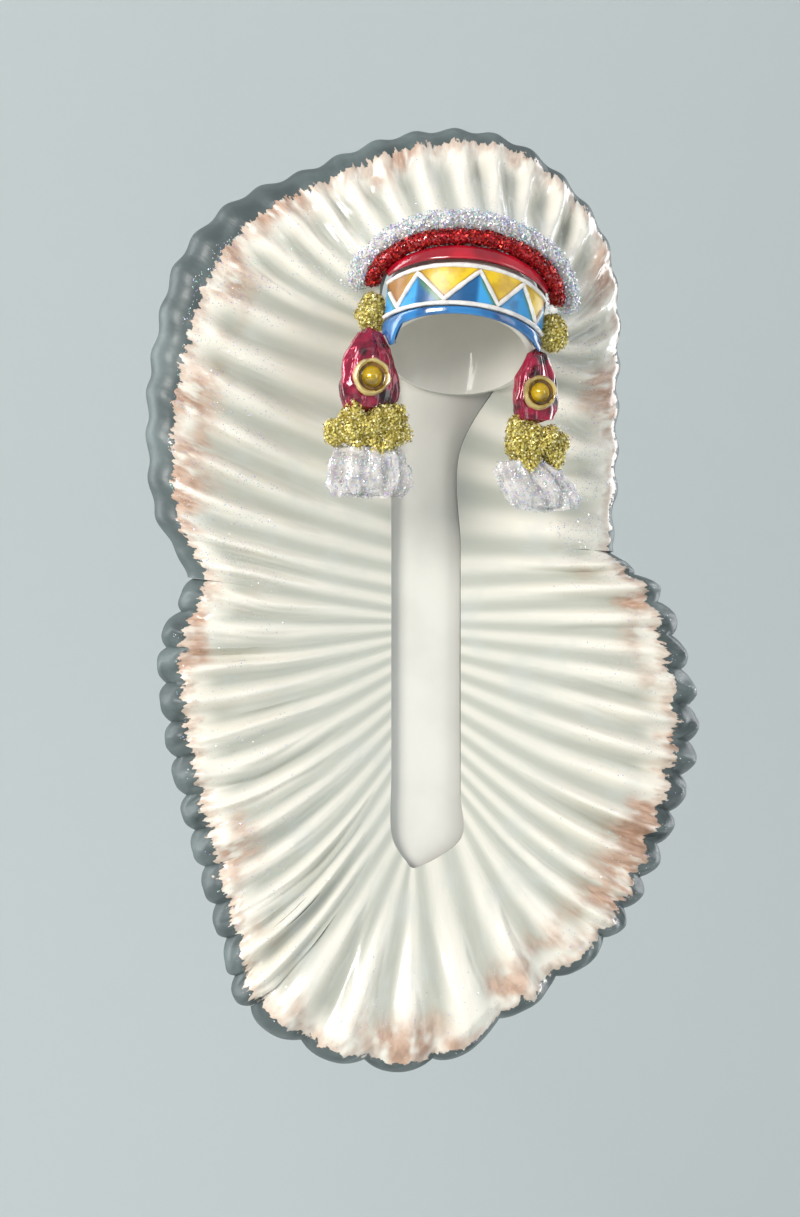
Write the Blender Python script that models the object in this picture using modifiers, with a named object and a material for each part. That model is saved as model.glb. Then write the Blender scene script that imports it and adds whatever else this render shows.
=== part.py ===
"""A feathered headdress with a long trailer, at the size of a small glass figure's.

Metres, +Z up. The wearer faces -Y and +X is at the viewer's right. The origin is the middle of
the head opening, level with the front of the cap's rim. Left and right are the viewer's.
"""

import math

import bmesh
import bpy
import numpy as np
from mathutils import Matrix, Vector

MM = 0.001

# Feather ring and trailer, seen from the front
LEFT_REACH = 44.5 * MM
RIGHT_REACH = 40.8 * MM
CROWN_RISE = 29.6 * MM
TRAILER_DROP = 111.0 * MM
RUFF_FRONT = 7.6 * MM

# One feather
FEATHER_WALL = 1.1 * MM
RIDGE_RISE = 0.9 * MM
CROWN_NOTCH = 0.6 * MM
TRAILER_NOTCH = 1.4 * MM
NOTCH_SHARPNESS = 2.5
RIDGE_FADE = 0.5
ROLL_RADIUS = 4.4 * MM
ROLL_TURN = math.radians(82.0)

# Cap that goes over the head
CAP_HALF_WIDTH = 11.1 * MM
CAP_HALF_DEPTH = 11.9 * MM
CAP_WALL = 1.0 * MM
DOME_BASE = 3.0 * MM
DOME_RISE = 8.6 * MM
RIM_FRONT = 0.3 * MM
RIM_BACK = -10.0 * MM
SKIRT_SPARE = 4.0 * MM

# How the head is turned and leaned inside the ring of feathers
HEAD_TURN = math.radians(-10.0)
HEAD_LEAN = math.radians(6.0)

# Ring on the cap where the crown feathers start: height at its front and at its back
ROOT_RING_FRONT = 11.9 * MM
ROOT_RING_FRONT_DEPTH = -5.8 * MM
ROOT_RING_BACK = -9.5 * MM
ROOT_STAND_OFF = 1.3 * MM

# Strip that carries the trailer's feathers
STRIP_CENTRE = -2.5 * MM
STRIP_WIDTH = 17.0 * MM
STRIP_YOKE_WIDTH = 27.0 * MM
STRIP_YOKE_DROP = 16.0 * MM
STRIP_WALL = 1.4 * MM
STRIP_TOP = -2.5 * MM
ROOTS_TOP = -12.0 * MM
ROOTS_BOTTOM = -80.0 * MM
STRIP_BEYOND_ROOTS = 3.0 * MM
STRIP_END_FROM = 0.9
STRIP_END_NARROWING = 0.35
ROOT_LAP = 3.2 * MM

# Bands round the forehead: height of each edge at the front and at the temples
BAND_WALL = 1.0 * MM
EDGE_FRONT, EDGE_TEMPLE = 0.0 * MM, -6.2 * MM
BROW_LOW_FRONT, BROW_LOW_TEMPLE = 1.4 * MM, -3.0 * MM
BROW_HIGH_FRONT, BROW_HIGH_TEMPLE = 7.2 * MM, 1.9 * MM
RED_HIGH_FRONT, RED_HIGH_TEMPLE = 9.4 * MM, 2.7 * MM
BROW_TOP_SET_BACK = 0.7 * MM
RED_TOP_SET_BACK = 2.2 * MM
RED_TOP_FLARE = 0.5 * MM
RED_RISE = 0.8 * MM
BAND_SWEEP = math.radians(66.0)

# Tongue of the blue band in front of the left temple
TONGUE_DROP = 2.3 * MM
TONGUE_ANGLE = math.radians(-56.6)
TONGUE_HALF_ANGLE = math.radians(9.4)

# Glitter cord and white roll above the bands
CORD_RADIUS = 0.95 * MM
CORD_FRONT, CORD_TEMPLE = 10.6 * MM, 3.6 * MM
CORD_STAND_OUT = 2.3 * MM
CORD_REACH = 10.4 * MM
CORD_TEMPLE_DEPTH = -1.6 * MM
ROLL_TUBE_RADIUS = 1.4 * MM
ROLL_FRONT, ROLL_TEMPLE = 13.4 * MM, 3.4 * MM
ROLL_STAND_OUT = 4.2 * MM
ROLL_REACH = 7.5 * MM
ROLL_TEMPLE_DEPTH = 1.5 * MM
TUBE_SWEEP = math.radians(90.0)

# Tufts at the temples, in the head's own directions
TUFT_STAND_OUT = 2.1 * MM
TUFT_DEPTH = -3.0 * MM
TUFT_HEIGHT = -0.45 * MM
TUFT_HALF_WIDTH = 1.9 * MM
TUFT_HALF_DEPTH = 1.6 * MM
TUFT_HALF_HEIGHT = 2.6 * MM

# What hangs at each side. Left, then right: middle x, middle y, half width, top, lengths
LEFT_DROPS = {
    "middle": -14.7 * MM,
    "depth": -3.0 * MM,
    "top": -2.1 * MM,
    "drape_half_width": 4.2 * MM,
    "drape_length": 10.8 * MM,
    "concho_radius": 2.75 * MM,
    "tuft_half_width": 5.6 * MM,
    "tuft_length": 5.2 * MM,
    "fur_half_width": 5.8 * MM,
    "fur_length": 6.6 * MM,
    "fur_flare": 0.0,
}
RIGHT_DROPS = {
    "middle": 9.6 * MM,
    "depth": -5.6 * MM,
    "top": -4.9 * MM,
    "drape_half_width": 3.4 * MM,
    "drape_length": 9.6 * MM,
    "concho_radius": 2.5 * MM,
    "tuft_half_width": 4.1 * MM,
    "tuft_length": 5.6 * MM,
    "fur_half_width": 5.4 * MM,
    "fur_length": 6.4 * MM,
    "fur_flare": 0.35,
}
DROP_HALF_DEPTH = 2.0 * MM
CONCHO_WALL = 0.9 * MM
CONCHO_DOME = 1.0 * MM
CONCHO_DOWN = 0.6

FIT_GAP = 0.3 * MM

# Stations round the feathers, from the bottom up the left side, over the top and down the right.
# Tip: across as a share of LEFT_REACH or RIGHT_REACH, up as a share of CROWN_RISE or TRAILER_DROP.
# Root: on the strip, its side and its share of the way down, or on the cap, the angle in degrees
# from the front. Bow: how far the feather's middle sags off its straight line, as a share of it.
STATIONS = [
    (-0.03, -0.990, "strip", -0.2, 1.000, 0.00),
    (-0.382, -0.977, "strip", -0.6, 0.985, 0.00),
    (-0.672, -0.910, "strip", -1.0, 0.925, 0.02),
    (-0.755, -0.820, "strip", -1.0, 0.800, 0.05),
    (-0.861, -0.676, "strip", -1.0, 0.670, 0.05),
    (-0.942, -0.540, "strip", -1.0, 0.560, 0.04),
    (-0.960, -0.424, "strip", -1.0, 0.490, 0.02),
    (-0.872, -0.335, "strip", -1.0, 0.440, 0.00),
    (-0.978, -0.245, "strip", -1.0, 0.360, 0.02),
    (-1.000, -0.118, "strip", -1.0, 0.230, 0.02),
    (-0.975, -0.027, "strip", -1.0, 0.080, 0.03),
    (-0.899, 0.304, "cap", -1.0, -134.0, 0.05),
    (-0.719, 0.601, "cap", -1.0, -110.0, 0.05),
    (-0.449, 0.784, "cap", -1.0, -86.0, 0.02),
    (-0.193, 0.942, "cap", -1.0, -60.0, 0.00),
    (0.060, 1.000, "cap", -1.0, 8.0, 0.00),
    (0.280, 0.945, "cap", -1.0, 55.0, 0.00),
    (0.474, 0.760, "cap", -1.0, 80.0, -0.02),
    (0.622, 0.485, "cap", -1.0, 98.0, -0.05),
    (0.678, 0.135, "cap", -1.0, 114.0, -0.10),
    (0.678, -0.080, "cap", -1.0, 131.0, -0.10),
    (0.674, -0.200, "strip", 1.0, 0.090, -0.04),
    (0.670, -0.300, "strip", 1.0, 0.300, 0.00),
    (0.840, -0.352, "strip", 1.0, 0.420, 0.00),
    (0.945, -0.450, "strip", 1.0, 0.500, 0.00),
    (0.980, -0.540, "strip", 1.0, 0.570, -0.02),
    (0.930, -0.628, "strip", 1.0, 0.650, -0.04),
    (0.812, -0.727, "strip", 1.0, 0.745, -0.05),
    (0.640, -0.828, "strip", 1.0, 0.845, -0.04),
    (0.348, -0.908, "strip", 1.0, 0.940, -0.02),
]
# Runs of feathers: name, first and last station, how many, how many share a node, and how far
# the notches between their tips reach in
RUNS = [
    ("trailer_feathers_left", 2.0, 7.0, 12, 2, TRAILER_NOTCH),
    ("crown_feather", 7.0, 22.0, 28, 1, CROWN_NOTCH),
    ("trailer_feathers_right", 22.0, 28.0, 12, 2, TRAILER_NOTCH),
    ("trailer_end", 28.0, 32.0, 6, 6, TRAILER_NOTCH),
]
CELLS_ACROSS = 4
CELLS_ALONG_BLADE = 4
CELLS_ALONG_ROLL = 3
BAND_COLUMNS = 14
TUBE_POINTS = 19
LUMP_RIPPLE = 0.06
ROLL_STARTS_AT = CELLS_ALONG_BLADE / (CELLS_ALONG_BLADE + CELLS_ALONG_ROLL)


def clear_scene():
    for item in list(bpy.data.objects):
        bpy.data.objects.remove(item, do_unlink=True)


def new_material(name, colour, roughness, metallic=0.0):
    material = bpy.data.materials.new(name)
    material.use_nodes = True
    shader = material.node_tree.nodes["Principled BSDF"]
    shader.inputs["Base Color"].default_value = (*colour, 1.0)
    shader.inputs["Roughness"].default_value = roughness
    shader.inputs["Metallic"].default_value = metallic
    return material


def make_object(name, mesh, material, collection):
    """An object from a bmesh, shaded smooth apart from its sharp edges."""
    data = bpy.data.meshes.new(name)
    mesh.to_mesh(data)
    mesh.free()
    data.shade_smooth()
    data.set_sharp_from_angle(angle=math.radians(50.0))
    data.materials.append(material)
    item = bpy.data.objects.new(name, data)
    collection.objects.link(item)
    return item


def add_wall(item, thickness):
    """Gives an open surface its thickness, behind its face."""
    wall = item.modifiers.new("wall", "SOLIDIFY")
    wall.thickness = thickness
    wall.offset = -1.0
    return wall


# The head's own directions, turned and leaned inside the ring of feathers
HEAD = Matrix.Rotation(HEAD_TURN, 4, "Z") @ Matrix.Rotation(HEAD_LEAN, 4, "Y")


def root_ring_point(angle):
    """Where a tilted plane meets a surface that stands ROOT_STAND_OFF outside the cap."""
    slope = (ROOT_RING_BACK - ROOT_RING_FRONT) / (
        CAP_HALF_DEPTH + ROOT_STAND_OFF - ROOT_RING_FRONT_DEPTH
    )
    across = (CAP_HALF_WIDTH + ROOT_STAND_OFF) * math.sin(angle)
    ahead = -(CAP_HALF_DEPTH + ROOT_STAND_OFF) * math.cos(angle)

    def plane_height(share):
        return ROOT_RING_FRONT + slope * (ahead * share - ROOT_RING_FRONT_DEPTH)

    if plane_height(1.0) < DOME_BASE:
        return HEAD @ Vector((across, ahead, plane_height(1.0)))
    low, high = 0.0, 1.0
    for _ in range(40):
        share = (low + high) / 2.0
        dome = DOME_BASE + (DOME_RISE + ROOT_STAND_OFF) * math.sqrt(1.0 - share * share)
        if dome > plane_height(share):
            low = share
        else:
            high = share
    return HEAD @ Vector((across * share, ahead * share, plane_height(share)))


STRIP_FRONT = CAP_HALF_DEPTH + FIT_GAP


def strip_root_point(side, down):
    """On the front of the trailer's strip, clear of it by the fit gap and the feather's wall."""
    return Vector(
        (
            STRIP_CENTRE + side * (STRIP_WIDTH / 2.0 - ROOT_LAP),
            STRIP_FRONT - 2.0 * FIT_GAP - FEATHER_WALL,
            ROOTS_TOP + down * (ROOTS_BOTTOM - ROOTS_TOP),
        )
    )


def station_values():
    """Each station as tip x, tip z, root x, root y, root z, bow."""
    rows = []
    for tip_across, tip_up, carrier, side, place, bow in STATIONS:
        x = tip_across * (RIGHT_REACH if tip_across > 0.0 else LEFT_REACH)
        z = tip_up * (CROWN_RISE if tip_up > 0.0 else TRAILER_DROP)
        if carrier == "strip":
            root = strip_root_point(side, place)
        else:
            root = root_ring_point(math.radians(place))
        rows.append((x, z, root.x, root.y, root.z, bow))
    return np.array(rows)


VALUES = station_values()


def at_station(station):
    """Smooth values between the stations, which close in a ring."""
    count = len(VALUES)
    first = math.floor(station)
    t = station - first
    before, here, after, beyond = (VALUES[(first + step) % count] for step in (-1, 0, 1, 2))
    return 0.5 * (
        2.0 * here
        + (after - before) * t
        + (2.0 * before - 5.0 * here + 4.0 * after - beyond) * t * t
        + (3.0 * here - before - 3.0 * after + beyond) * t * t * t
    )


def feather_line(station, notch, along):
    """A point on the ruff's smooth front: along runs from 0 at the root to 1 at the rolled tip."""
    tip_x, tip_z, root_x, root_y, root_z, bow = at_station(station)
    root, tip = Vector((root_x, root_z)), Vector((tip_x, tip_z))
    line = tip - root
    bend = root + line * 0.5 + Vector((-line.y, line.x)) * (2.0 * bow)
    heading = (tip - bend).normalized()
    tip = tip - heading * notch
    start = tip - heading * ROLL_RADIUS * math.sin(ROLL_TURN)
    if along <= ROLL_STARTS_AT:
        t = along / ROLL_STARTS_AT
        flat = root * (1.0 - t) ** 2 + bend * 2.0 * t * (1.0 - t) + start * t * t
        depth = root_y + (RUFF_FRONT - root_y) * math.sin(t * math.pi / 2.0)
        return Vector((flat.x, depth, flat.y))
    turn = ROLL_TURN * (along - ROLL_STARTS_AT) / (1.0 - ROLL_STARTS_AT)
    flat = start + heading * ROLL_RADIUS * math.sin(turn)
    depth = RUFF_FRONT + ROLL_RADIUS * (1.0 - math.cos(turn))
    return Vector((flat.x, depth, flat.y))


def feather_point(first, last, count, notch, across, along):
    """A point on a run of feathers: across runs from 0 to count."""
    inset = FIT_GAP / 2.0
    width = (feather_line(last, 0.0, along) - feather_line(first, 0.0, along)).length
    share = across / count
    station = first + (last - first) * (share + (1.0 - 2.0 * share) * inset / width)
    swing = abs(2.0 * (across - math.floor(min(across, count - 0.001))) - 1.0)
    point = feather_line(station, notch * swing**NOTCH_SHARPNESS, along)
    rise = math.sin(min(1.0, along / ROLL_STARTS_AT) * math.pi / 2.0) ** 2
    fade = 1.0 - RIDGE_FADE * max(0.0, along - ROLL_STARTS_AT) / (1.0 - ROLL_STARTS_AT)
    point.y -= RIDGE_RISE * rise * fade * (1.0 - swing**2)
    return point


def run_boundaries(first, last, count):
    """Stations that part a run into feathers of the same width at their tips."""
    stations = np.linspace(first, last, 400)
    tips = np.array([at_station(station)[:2] for station in stations])
    steps = np.linalg.norm(np.diff(tips, axis=0), axis=1)
    lengths = np.concatenate([[0.0], np.cumsum(steps)])
    return np.interp(np.linspace(0.0, lengths[-1], count + 1), lengths, stations)


def add_feathers(name, first, last, count, notch, material, collection):
    """One node of count feathers side by side, from a grid laid on the ruff."""
    mesh = bmesh.new()
    bmesh.ops.create_grid(
        mesh,
        x_segments=CELLS_ACROSS * count,
        y_segments=CELLS_ALONG_BLADE + CELLS_ALONG_ROLL,
        size=1.0,
    )
    for vertex in mesh.verts:
        across = (vertex.co.x + 1.0) / 2.0 * count
        along = (vertex.co.y + 1.0) / 2.0
        vertex.co = feather_point(first, last, count, notch, across, along)
    item = make_object(name, mesh, material, collection)
    add_wall(item, FEATHER_WALL)
    return item


def add_ruff(material, collection):
    for name, first, last, count, share, notch in RUNS:
        edges = run_boundaries(first, last, count)
        nodes = count // share
        for index in range(nodes):
            start, stop = edges[index * share], edges[(index + 1) * share]
            label = name if nodes == 1 else "%s_%02d" % (name, index + 1)
            add_feathers(label, start, stop, share, notch, material, collection)


def add_cap(material, collection):
    """A dome with an upright skirt, cut off by the tilted rim."""
    mesh = bmesh.new()
    bmesh.ops.create_uvsphere(mesh, u_segments=22, v_segments=12, radius=1.0)
    skirt = DOME_BASE - RIM_BACK + SKIRT_SPARE
    for vertex in mesh.verts:
        x, y, z = vertex.co
        if z >= -0.001:
            height = DOME_BASE + DOME_RISE * z
        else:
            widen = 1.0 / max(math.hypot(x, y), 0.001)
            x, y = x * widen, y * widen
            height = DOME_BASE + skirt * z
        vertex.co = (CAP_HALF_WIDTH * x, CAP_HALF_DEPTH * y, height)
    slope = (RIM_BACK - RIM_FRONT) / (2.0 * CAP_HALF_DEPTH)
    bmesh.ops.bisect_plane(
        mesh,
        geom=mesh.verts[:] + mesh.edges[:] + mesh.faces[:],
        plane_co=(0.0, -CAP_HALF_DEPTH, RIM_FRONT),
        plane_no=(0.0, slope, -1.0),
        clear_outer=True,
    )
    mesh.transform(HEAD)
    item = make_object("skull_cap", mesh, material, collection)
    add_wall(item, CAP_WALL)


def add_strip(material, collection):
    """The trailer's strip, with a wider yoke behind the cap and a rounded lower end."""
    bottom = ROOTS_BOTTOM - STRIP_BEYOND_ROOTS
    mesh = bmesh.new()
    bmesh.ops.create_grid(mesh, x_segments=4, y_segments=14, size=1.0)
    for vertex in mesh.verts:
        across, down = vertex.co.x, (1.0 - vertex.co.y) / 2.0
        height = STRIP_TOP + (bottom - STRIP_TOP) * down
        yoke = max(0.0, 1.0 - (STRIP_TOP - height) / STRIP_YOKE_DROP) ** 1.5
        width = STRIP_WIDTH + (STRIP_YOKE_WIDTH - STRIP_WIDTH) * yoke
        end = max(0.0, (down - STRIP_END_FROM) / (1.0 - STRIP_END_FROM))
        narrow = 1.0 - STRIP_END_NARROWING * end**2
        middle = STRIP_CENTRE * (1.0 - yoke)
        vertex.co = (middle + across * narrow * width / 2.0, STRIP_FRONT, height)
    item = make_object("trailer_backing", mesh, material, collection)
    add_wall(item, STRIP_WALL)


def arch_point(angle, half_width, reach, front, temple, temple_depth=0.0):
    """On an arch round the forehead, in the head's directions: 0 is the front, in radians."""
    share = math.cos(angle)
    return Vector(
        (
            half_width * math.sin(angle),
            temple_depth - (reach + temple_depth) * share,
            temple + (front - temple) * share,
        )
    )


def add_band(name, low, high, rows, material, collection, tongue=0.0):
    """A band between two arches, with its wall on the inside and maybe a tongue at its left end."""
    mesh = bmesh.new()
    bmesh.ops.create_grid(mesh, x_segments=BAND_COLUMNS, y_segments=rows, size=1.0)
    for vertex in mesh.verts:
        angle = vertex.co.x * BAND_SWEEP
        share = (vertex.co.y + 1.0) / 2.0
        edge = arch_point(angle, *low)
        edge.z -= tongue * max(0.0, 1.0 - abs(angle - TONGUE_ANGLE) / TONGUE_HALF_ANGLE)
        vertex.co = HEAD @ edge.lerp(arch_point(angle, *high), share)
    item = make_object(name, mesh, material, collection)
    add_wall(item, BAND_WALL)


def add_bands(materials, collection):
    half_width = CAP_HALF_WIDTH + FIT_GAP + BAND_WALL
    reach = CAP_HALF_DEPTH + FIT_GAP + BAND_WALL
    gap = FIT_GAP
    edge_low = (half_width, reach, EDGE_FRONT, EDGE_TEMPLE)
    edge_high = (half_width, reach, BROW_LOW_FRONT - gap, BROW_LOW_TEMPLE - gap)
    brow_low = (half_width, reach, BROW_LOW_FRONT, BROW_LOW_TEMPLE)
    brow_high = (half_width, reach - BROW_TOP_SET_BACK, BROW_HIGH_FRONT, BROW_HIGH_TEMPLE)
    red_low = (
        half_width,
        reach - BROW_TOP_SET_BACK - gap / 2.0,
        BROW_HIGH_FRONT + RED_RISE,
        BROW_HIGH_TEMPLE + RED_RISE,
    )
    red_high = (
        half_width + RED_TOP_FLARE,
        reach - RED_TOP_SET_BACK,
        RED_HIGH_FRONT,
        RED_HIGH_TEMPLE,
    )
    add_band("blue_edge_band", edge_low, edge_high, 1, materials["blue"], collection, TONGUE_DROP)
    add_band("brow_band", brow_low, brow_high, 2, materials["amber"], collection)
    add_band("red_band", red_low, red_high, 1, materials["red"], collection)


def add_tube(name, radius, arch, material, collection):
    """A round cord on an arch, from temple to temple."""
    data = bpy.data.curves.new(name, "CURVE")
    data.dimensions = "3D"
    data.bevel_depth = radius
    data.bevel_resolution = 2
    data.use_fill_caps = True
    spline = data.splines.new("POLY")
    spline.points.add(TUBE_POINTS - 1)
    for index, point in enumerate(spline.points):
        angle = TUBE_SWEEP * (2.0 * index / (TUBE_POINTS - 1) - 1.0)
        point.co = (*(HEAD @ arch_point(angle, *arch)), 1.0)
    data.materials.append(material)
    item = bpy.data.objects.new(name, data)
    collection.objects.link(item)


def add_lump(name, place, half_sizes, rows, lobes, material, collection):
    """A rounded body from a sphere. A row is a ring's height, width, depth and shift, as shares."""
    mesh = bmesh.new()
    bmesh.ops.create_uvsphere(mesh, u_segments=12, v_segments=len(rows) - 1, radius=1.0)
    for vertex in mesh.verts:
        x, y, z = vertex.co
        ring = max(math.hypot(x, y), 1e-9)
        level = round(math.acos(max(-1.0, min(1.0, z))) / math.pi * (len(rows) - 1))
        height, wide, deep, shift = rows[level]
        ripple = 1.0 + LUMP_RIPPLE * math.cos(lobes * math.atan2(y, x))
        vertex.co = (
            place[0] + half_sizes[0] * (shift + wide * ripple * x / ring),
            place[1] + half_sizes[1] * deep * y / ring,
            place[2] + half_sizes[2] * height,
        )
    return make_object(name, mesh, material, collection)


BALL_ROWS = [
    (1.0, 0.0, 0.0, 0.0),
    (0.92, 0.38, 0.38, 0.0),
    (0.71, 0.71, 0.71, 0.0),
    (0.38, 0.92, 0.92, 0.0),
    (0.0, 1.0, 1.0, 0.0),
    (-0.38, 0.92, 0.92, 0.0),
    (-0.71, 0.71, 0.71, 0.0),
    (-0.92, 0.38, 0.38, 0.0),
    (-1.0, 0.0, 0.0, 0.0),
]
DRAPE_ROWS = [
    (1.0, 0.0, 0.0, 0.05),
    (0.88, 0.44, 0.56, 0.05),
    (0.58, 0.72, 0.84, 0.03),
    (0.28, 0.90, 0.97, 0.0),
    (-0.05, 0.97, 1.0, 0.0),
    (-0.38, 1.0, 1.0, 0.0),
    (-0.68, 0.86, 0.90, 0.03),
    (-0.90, 0.52, 0.60, 0.08),
    (-1.0, 0.0, 0.0, 0.1),
]
BLOCK_ROWS = [
    (1.0, 0.0, 0.0, 0.0),
    (0.93, 0.80, 0.78, 0.0),
    (0.62, 0.97, 0.96, 0.0),
    (0.0, 1.0, 1.0, 0.0),
    (-0.62, 0.97, 0.96, 0.0),
    (-0.93, 0.80, 0.78, 0.0),
    (-1.0, 0.0, 0.0, 0.0),
]


def add_temple_tuft(name, side, material, collection):
    place = HEAD @ Vector((side * (CAP_HALF_WIDTH + TUFT_STAND_OUT), TUFT_DEPTH, TUFT_HEIGHT))
    half_sizes = (TUFT_HALF_WIDTH, TUFT_HALF_DEPTH, TUFT_HALF_HEIGHT)
    add_lump(name, place, half_sizes, BALL_ROWS, 5, material, collection)


def add_concho(name, place, radius, material, collection):
    """A pale ring round a dome, turned about its own axis and set facing forwards."""
    profile = [
        (0.0, CONCHO_WALL + CONCHO_DOME),
        (0.28, CONCHO_WALL + 0.9 * CONCHO_DOME),
        (0.55, CONCHO_WALL + 0.35 * CONCHO_DOME),
        (0.62, CONCHO_WALL),
        (0.80, CONCHO_WALL * 1.25),
        (1.0, CONCHO_WALL * 0.75),
        (1.0, 0.0),
        (0.0, 0.0),
    ]
    mesh = bmesh.new()
    points = [mesh.verts.new((share * radius, 0.0, height)) for share, height in profile]
    for start, end in zip(points, points[1:]):
        mesh.edges.new((start, end))
    item = make_object(name, mesh, material, collection)
    turn = item.modifiers.new("turn", "SCREW")
    turn.steps = 14
    turn.render_steps = 14
    turn.use_merge_vertices = True
    turn.merge_threshold = 0.00001
    item.location = place
    item.rotation_euler = (math.radians(90.0), 0.0, 0.0)


def add_drops(side_name, sizes, materials, collection):
    """The drape, its concho, the gold tuft under it and the fur drop at the bottom."""
    x, y = sizes["middle"], sizes["depth"]
    top = sizes["top"]
    half = sizes["drape_length"] / 2.0
    add_lump(
        "side_drape_" + side_name,
        (x, y, top - half),
        (sizes["drape_half_width"], DROP_HALF_DEPTH, half),
        DRAPE_ROWS,
        3,
        materials["magenta"],
        collection,
    )
    add_concho(
        "concho_" + side_name,
        (x, y - DROP_HALF_DEPTH - FIT_GAP, top - 2.0 * half * CONCHO_DOWN),
        sizes["concho_radius"],
        materials["gold"],
        collection,
    )
    top -= sizes["drape_length"] + FIT_GAP
    half = sizes["tuft_length"] / 2.0
    add_lump(
        "drop_tuft_" + side_name,
        (x, y, top - half),
        (sizes["tuft_half_width"], DROP_HALF_DEPTH, half),
        BLOCK_ROWS,
        4,
        materials["gold_tuft"],
        collection,
    )
    top -= sizes["tuft_length"] + FIT_GAP
    half = sizes["fur_length"] / 2.0
    rows = [(level, wide, deep, sizes["fur_flare"] * -level) for level, wide, deep, _ in BLOCK_ROWS]
    add_lump(
        "ermine_drop_" + side_name,
        (x, y, top - half),
        (sizes["fur_half_width"], DROP_HALF_DEPTH, half),
        rows,
        5,
        materials["white"],
        collection,
    )


def build():
    clear_scene()
    collection = bpy.data.collections.new("feathered_headdress")
    bpy.context.scene.collection.children.link(collection)
    materials = {
        "white": new_material("pearl_white", (0.80, 0.79, 0.72), 0.38),
        "plain": new_material("plain_white", (0.72, 0.71, 0.66), 0.50),
        "blue": new_material("blue_lacquer", (0.02, 0.20, 0.60), 0.18),
        "amber": new_material("amber_lacquer", (0.60, 0.30, 0.02), 0.20),
        "red": new_material("red_lacquer", (0.45, 0.01, 0.03), 0.18),
        "red_glitter": new_material("red_glitter", (0.45, 0.02, 0.02), 0.45),
        "white_glitter": new_material("white_glitter", (0.85, 0.85, 0.88), 0.35),
        "magenta": new_material("magenta_lacquer", (0.40, 0.01, 0.07), 0.20),
        "gold": new_material("gold_lacquer", (0.75, 0.45, 0.05), 0.25, 0.6),
        "gold_tuft": new_material("gold_glitter", (0.62, 0.55, 0.12), 0.45, 0.6),
    }
    add_cap(materials["plain"], collection)
    add_strip(materials["plain"], collection)
    add_ruff(materials["white"], collection)
    add_bands(materials, collection)
    cord_half_width = CAP_HALF_WIDTH + CORD_STAND_OUT
    roll_half_width = CAP_HALF_WIDTH + ROLL_STAND_OUT
    cord_arch = (cord_half_width, CORD_REACH, CORD_FRONT, CORD_TEMPLE, CORD_TEMPLE_DEPTH)
    roll_arch = (roll_half_width, ROLL_REACH, ROLL_FRONT, ROLL_TEMPLE, ROLL_TEMPLE_DEPTH)
    add_tube("red_glitter_cord", CORD_RADIUS, cord_arch, materials["red_glitter"], collection)
    add_tube("white_glitter_roll", ROLL_TUBE_RADIUS, roll_arch, materials["white_glitter"], collection)
    add_temple_tuft("temple_tuft_left", -1.0, materials["gold_tuft"], collection)
    add_temple_tuft("temple_tuft_right", 1.0, materials["gold_tuft"], collection)
    add_drops("left", LEFT_DROPS, materials, collection)
    add_drops("right", RIGHT_DROPS, materials, collection)


build()
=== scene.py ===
# %% [markdown]
# # A feathered headdress in painted glass
# The real one is blown in a mould, silvered inside, and then painted, lacquered and glittered by
# hand. Its plain solids are already modelled. They are loaded here as a fixed frame, and each is
# then replaced by a finer shape in the same place, because a fold or a brush stroke is too small
# for the solids but makes the look.

import math

import bmesh
import bpy
import numpy as np
from mathutils import Matrix, Vector, noise


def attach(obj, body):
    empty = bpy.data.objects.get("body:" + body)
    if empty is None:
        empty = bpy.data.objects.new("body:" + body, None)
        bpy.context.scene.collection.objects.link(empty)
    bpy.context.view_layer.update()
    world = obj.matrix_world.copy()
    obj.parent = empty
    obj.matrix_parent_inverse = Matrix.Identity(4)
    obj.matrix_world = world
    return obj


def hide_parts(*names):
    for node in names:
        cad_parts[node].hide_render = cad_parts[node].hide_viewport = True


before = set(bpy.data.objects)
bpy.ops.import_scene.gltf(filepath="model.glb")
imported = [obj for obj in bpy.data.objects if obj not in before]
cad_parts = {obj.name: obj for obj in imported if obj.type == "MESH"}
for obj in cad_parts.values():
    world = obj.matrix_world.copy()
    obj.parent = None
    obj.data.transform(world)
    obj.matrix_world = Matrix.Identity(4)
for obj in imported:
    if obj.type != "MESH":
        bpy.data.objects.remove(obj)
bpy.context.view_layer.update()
MM = 0.001
print("nodes", len(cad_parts))

# %% [markdown]
# ## Camera
# The photograph was taken from a little to the left, level with the middle of the headdress.
# A long lens half a metre away gives the same slight perspective. The lens is worked out from how
# many millimetres one pixel of the photograph covers, so the render has the photograph's scale.

# %% Camera
AIM = Vector((-9.1, 0.0, -41.8)) * MM
CAMERA_TURN = math.radians(-14.0)
CAMERA_DISTANCE = 560.0 * MM
PIXEL = 0.145 * MM
PHOTO_ROWS = 1217
SENSOR_HEIGHT = 24.0

camera_data = bpy.data.cameras.new("camera")
camera_data.sensor_fit = "VERTICAL"
camera_data.sensor_height = SENSOR_HEIGHT
camera_data.lens = SENSOR_HEIGHT * CAMERA_DISTANCE / (PIXEL * PHOTO_ROWS)
camera = bpy.data.objects.new("camera", camera_data)
bpy.context.scene.collection.objects.link(camera)
backwards = Vector((math.sin(CAMERA_TURN), -math.cos(CAMERA_TURN), 0.0))
camera.location = AIM + backwards * CAMERA_DISTANCE
camera.rotation_euler = (math.radians(90.0), 0.0, CAMERA_TURN)
bpy.context.scene.camera = camera
print("lens", round(camera_data.lens, 1), "mm")

# %% [markdown]
# ## Light
# A small photo studio is copied with area lights. The key stands on the left and makes the small
# bright glints on the lacquer, and the fill opens the shadows on the right. Two upright strips
# behind the headdress catch its black edges, and two wide lights keep the backdrop even. A pale
# world stands for the white walls, which glossy glass would otherwise reflect as black.

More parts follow.
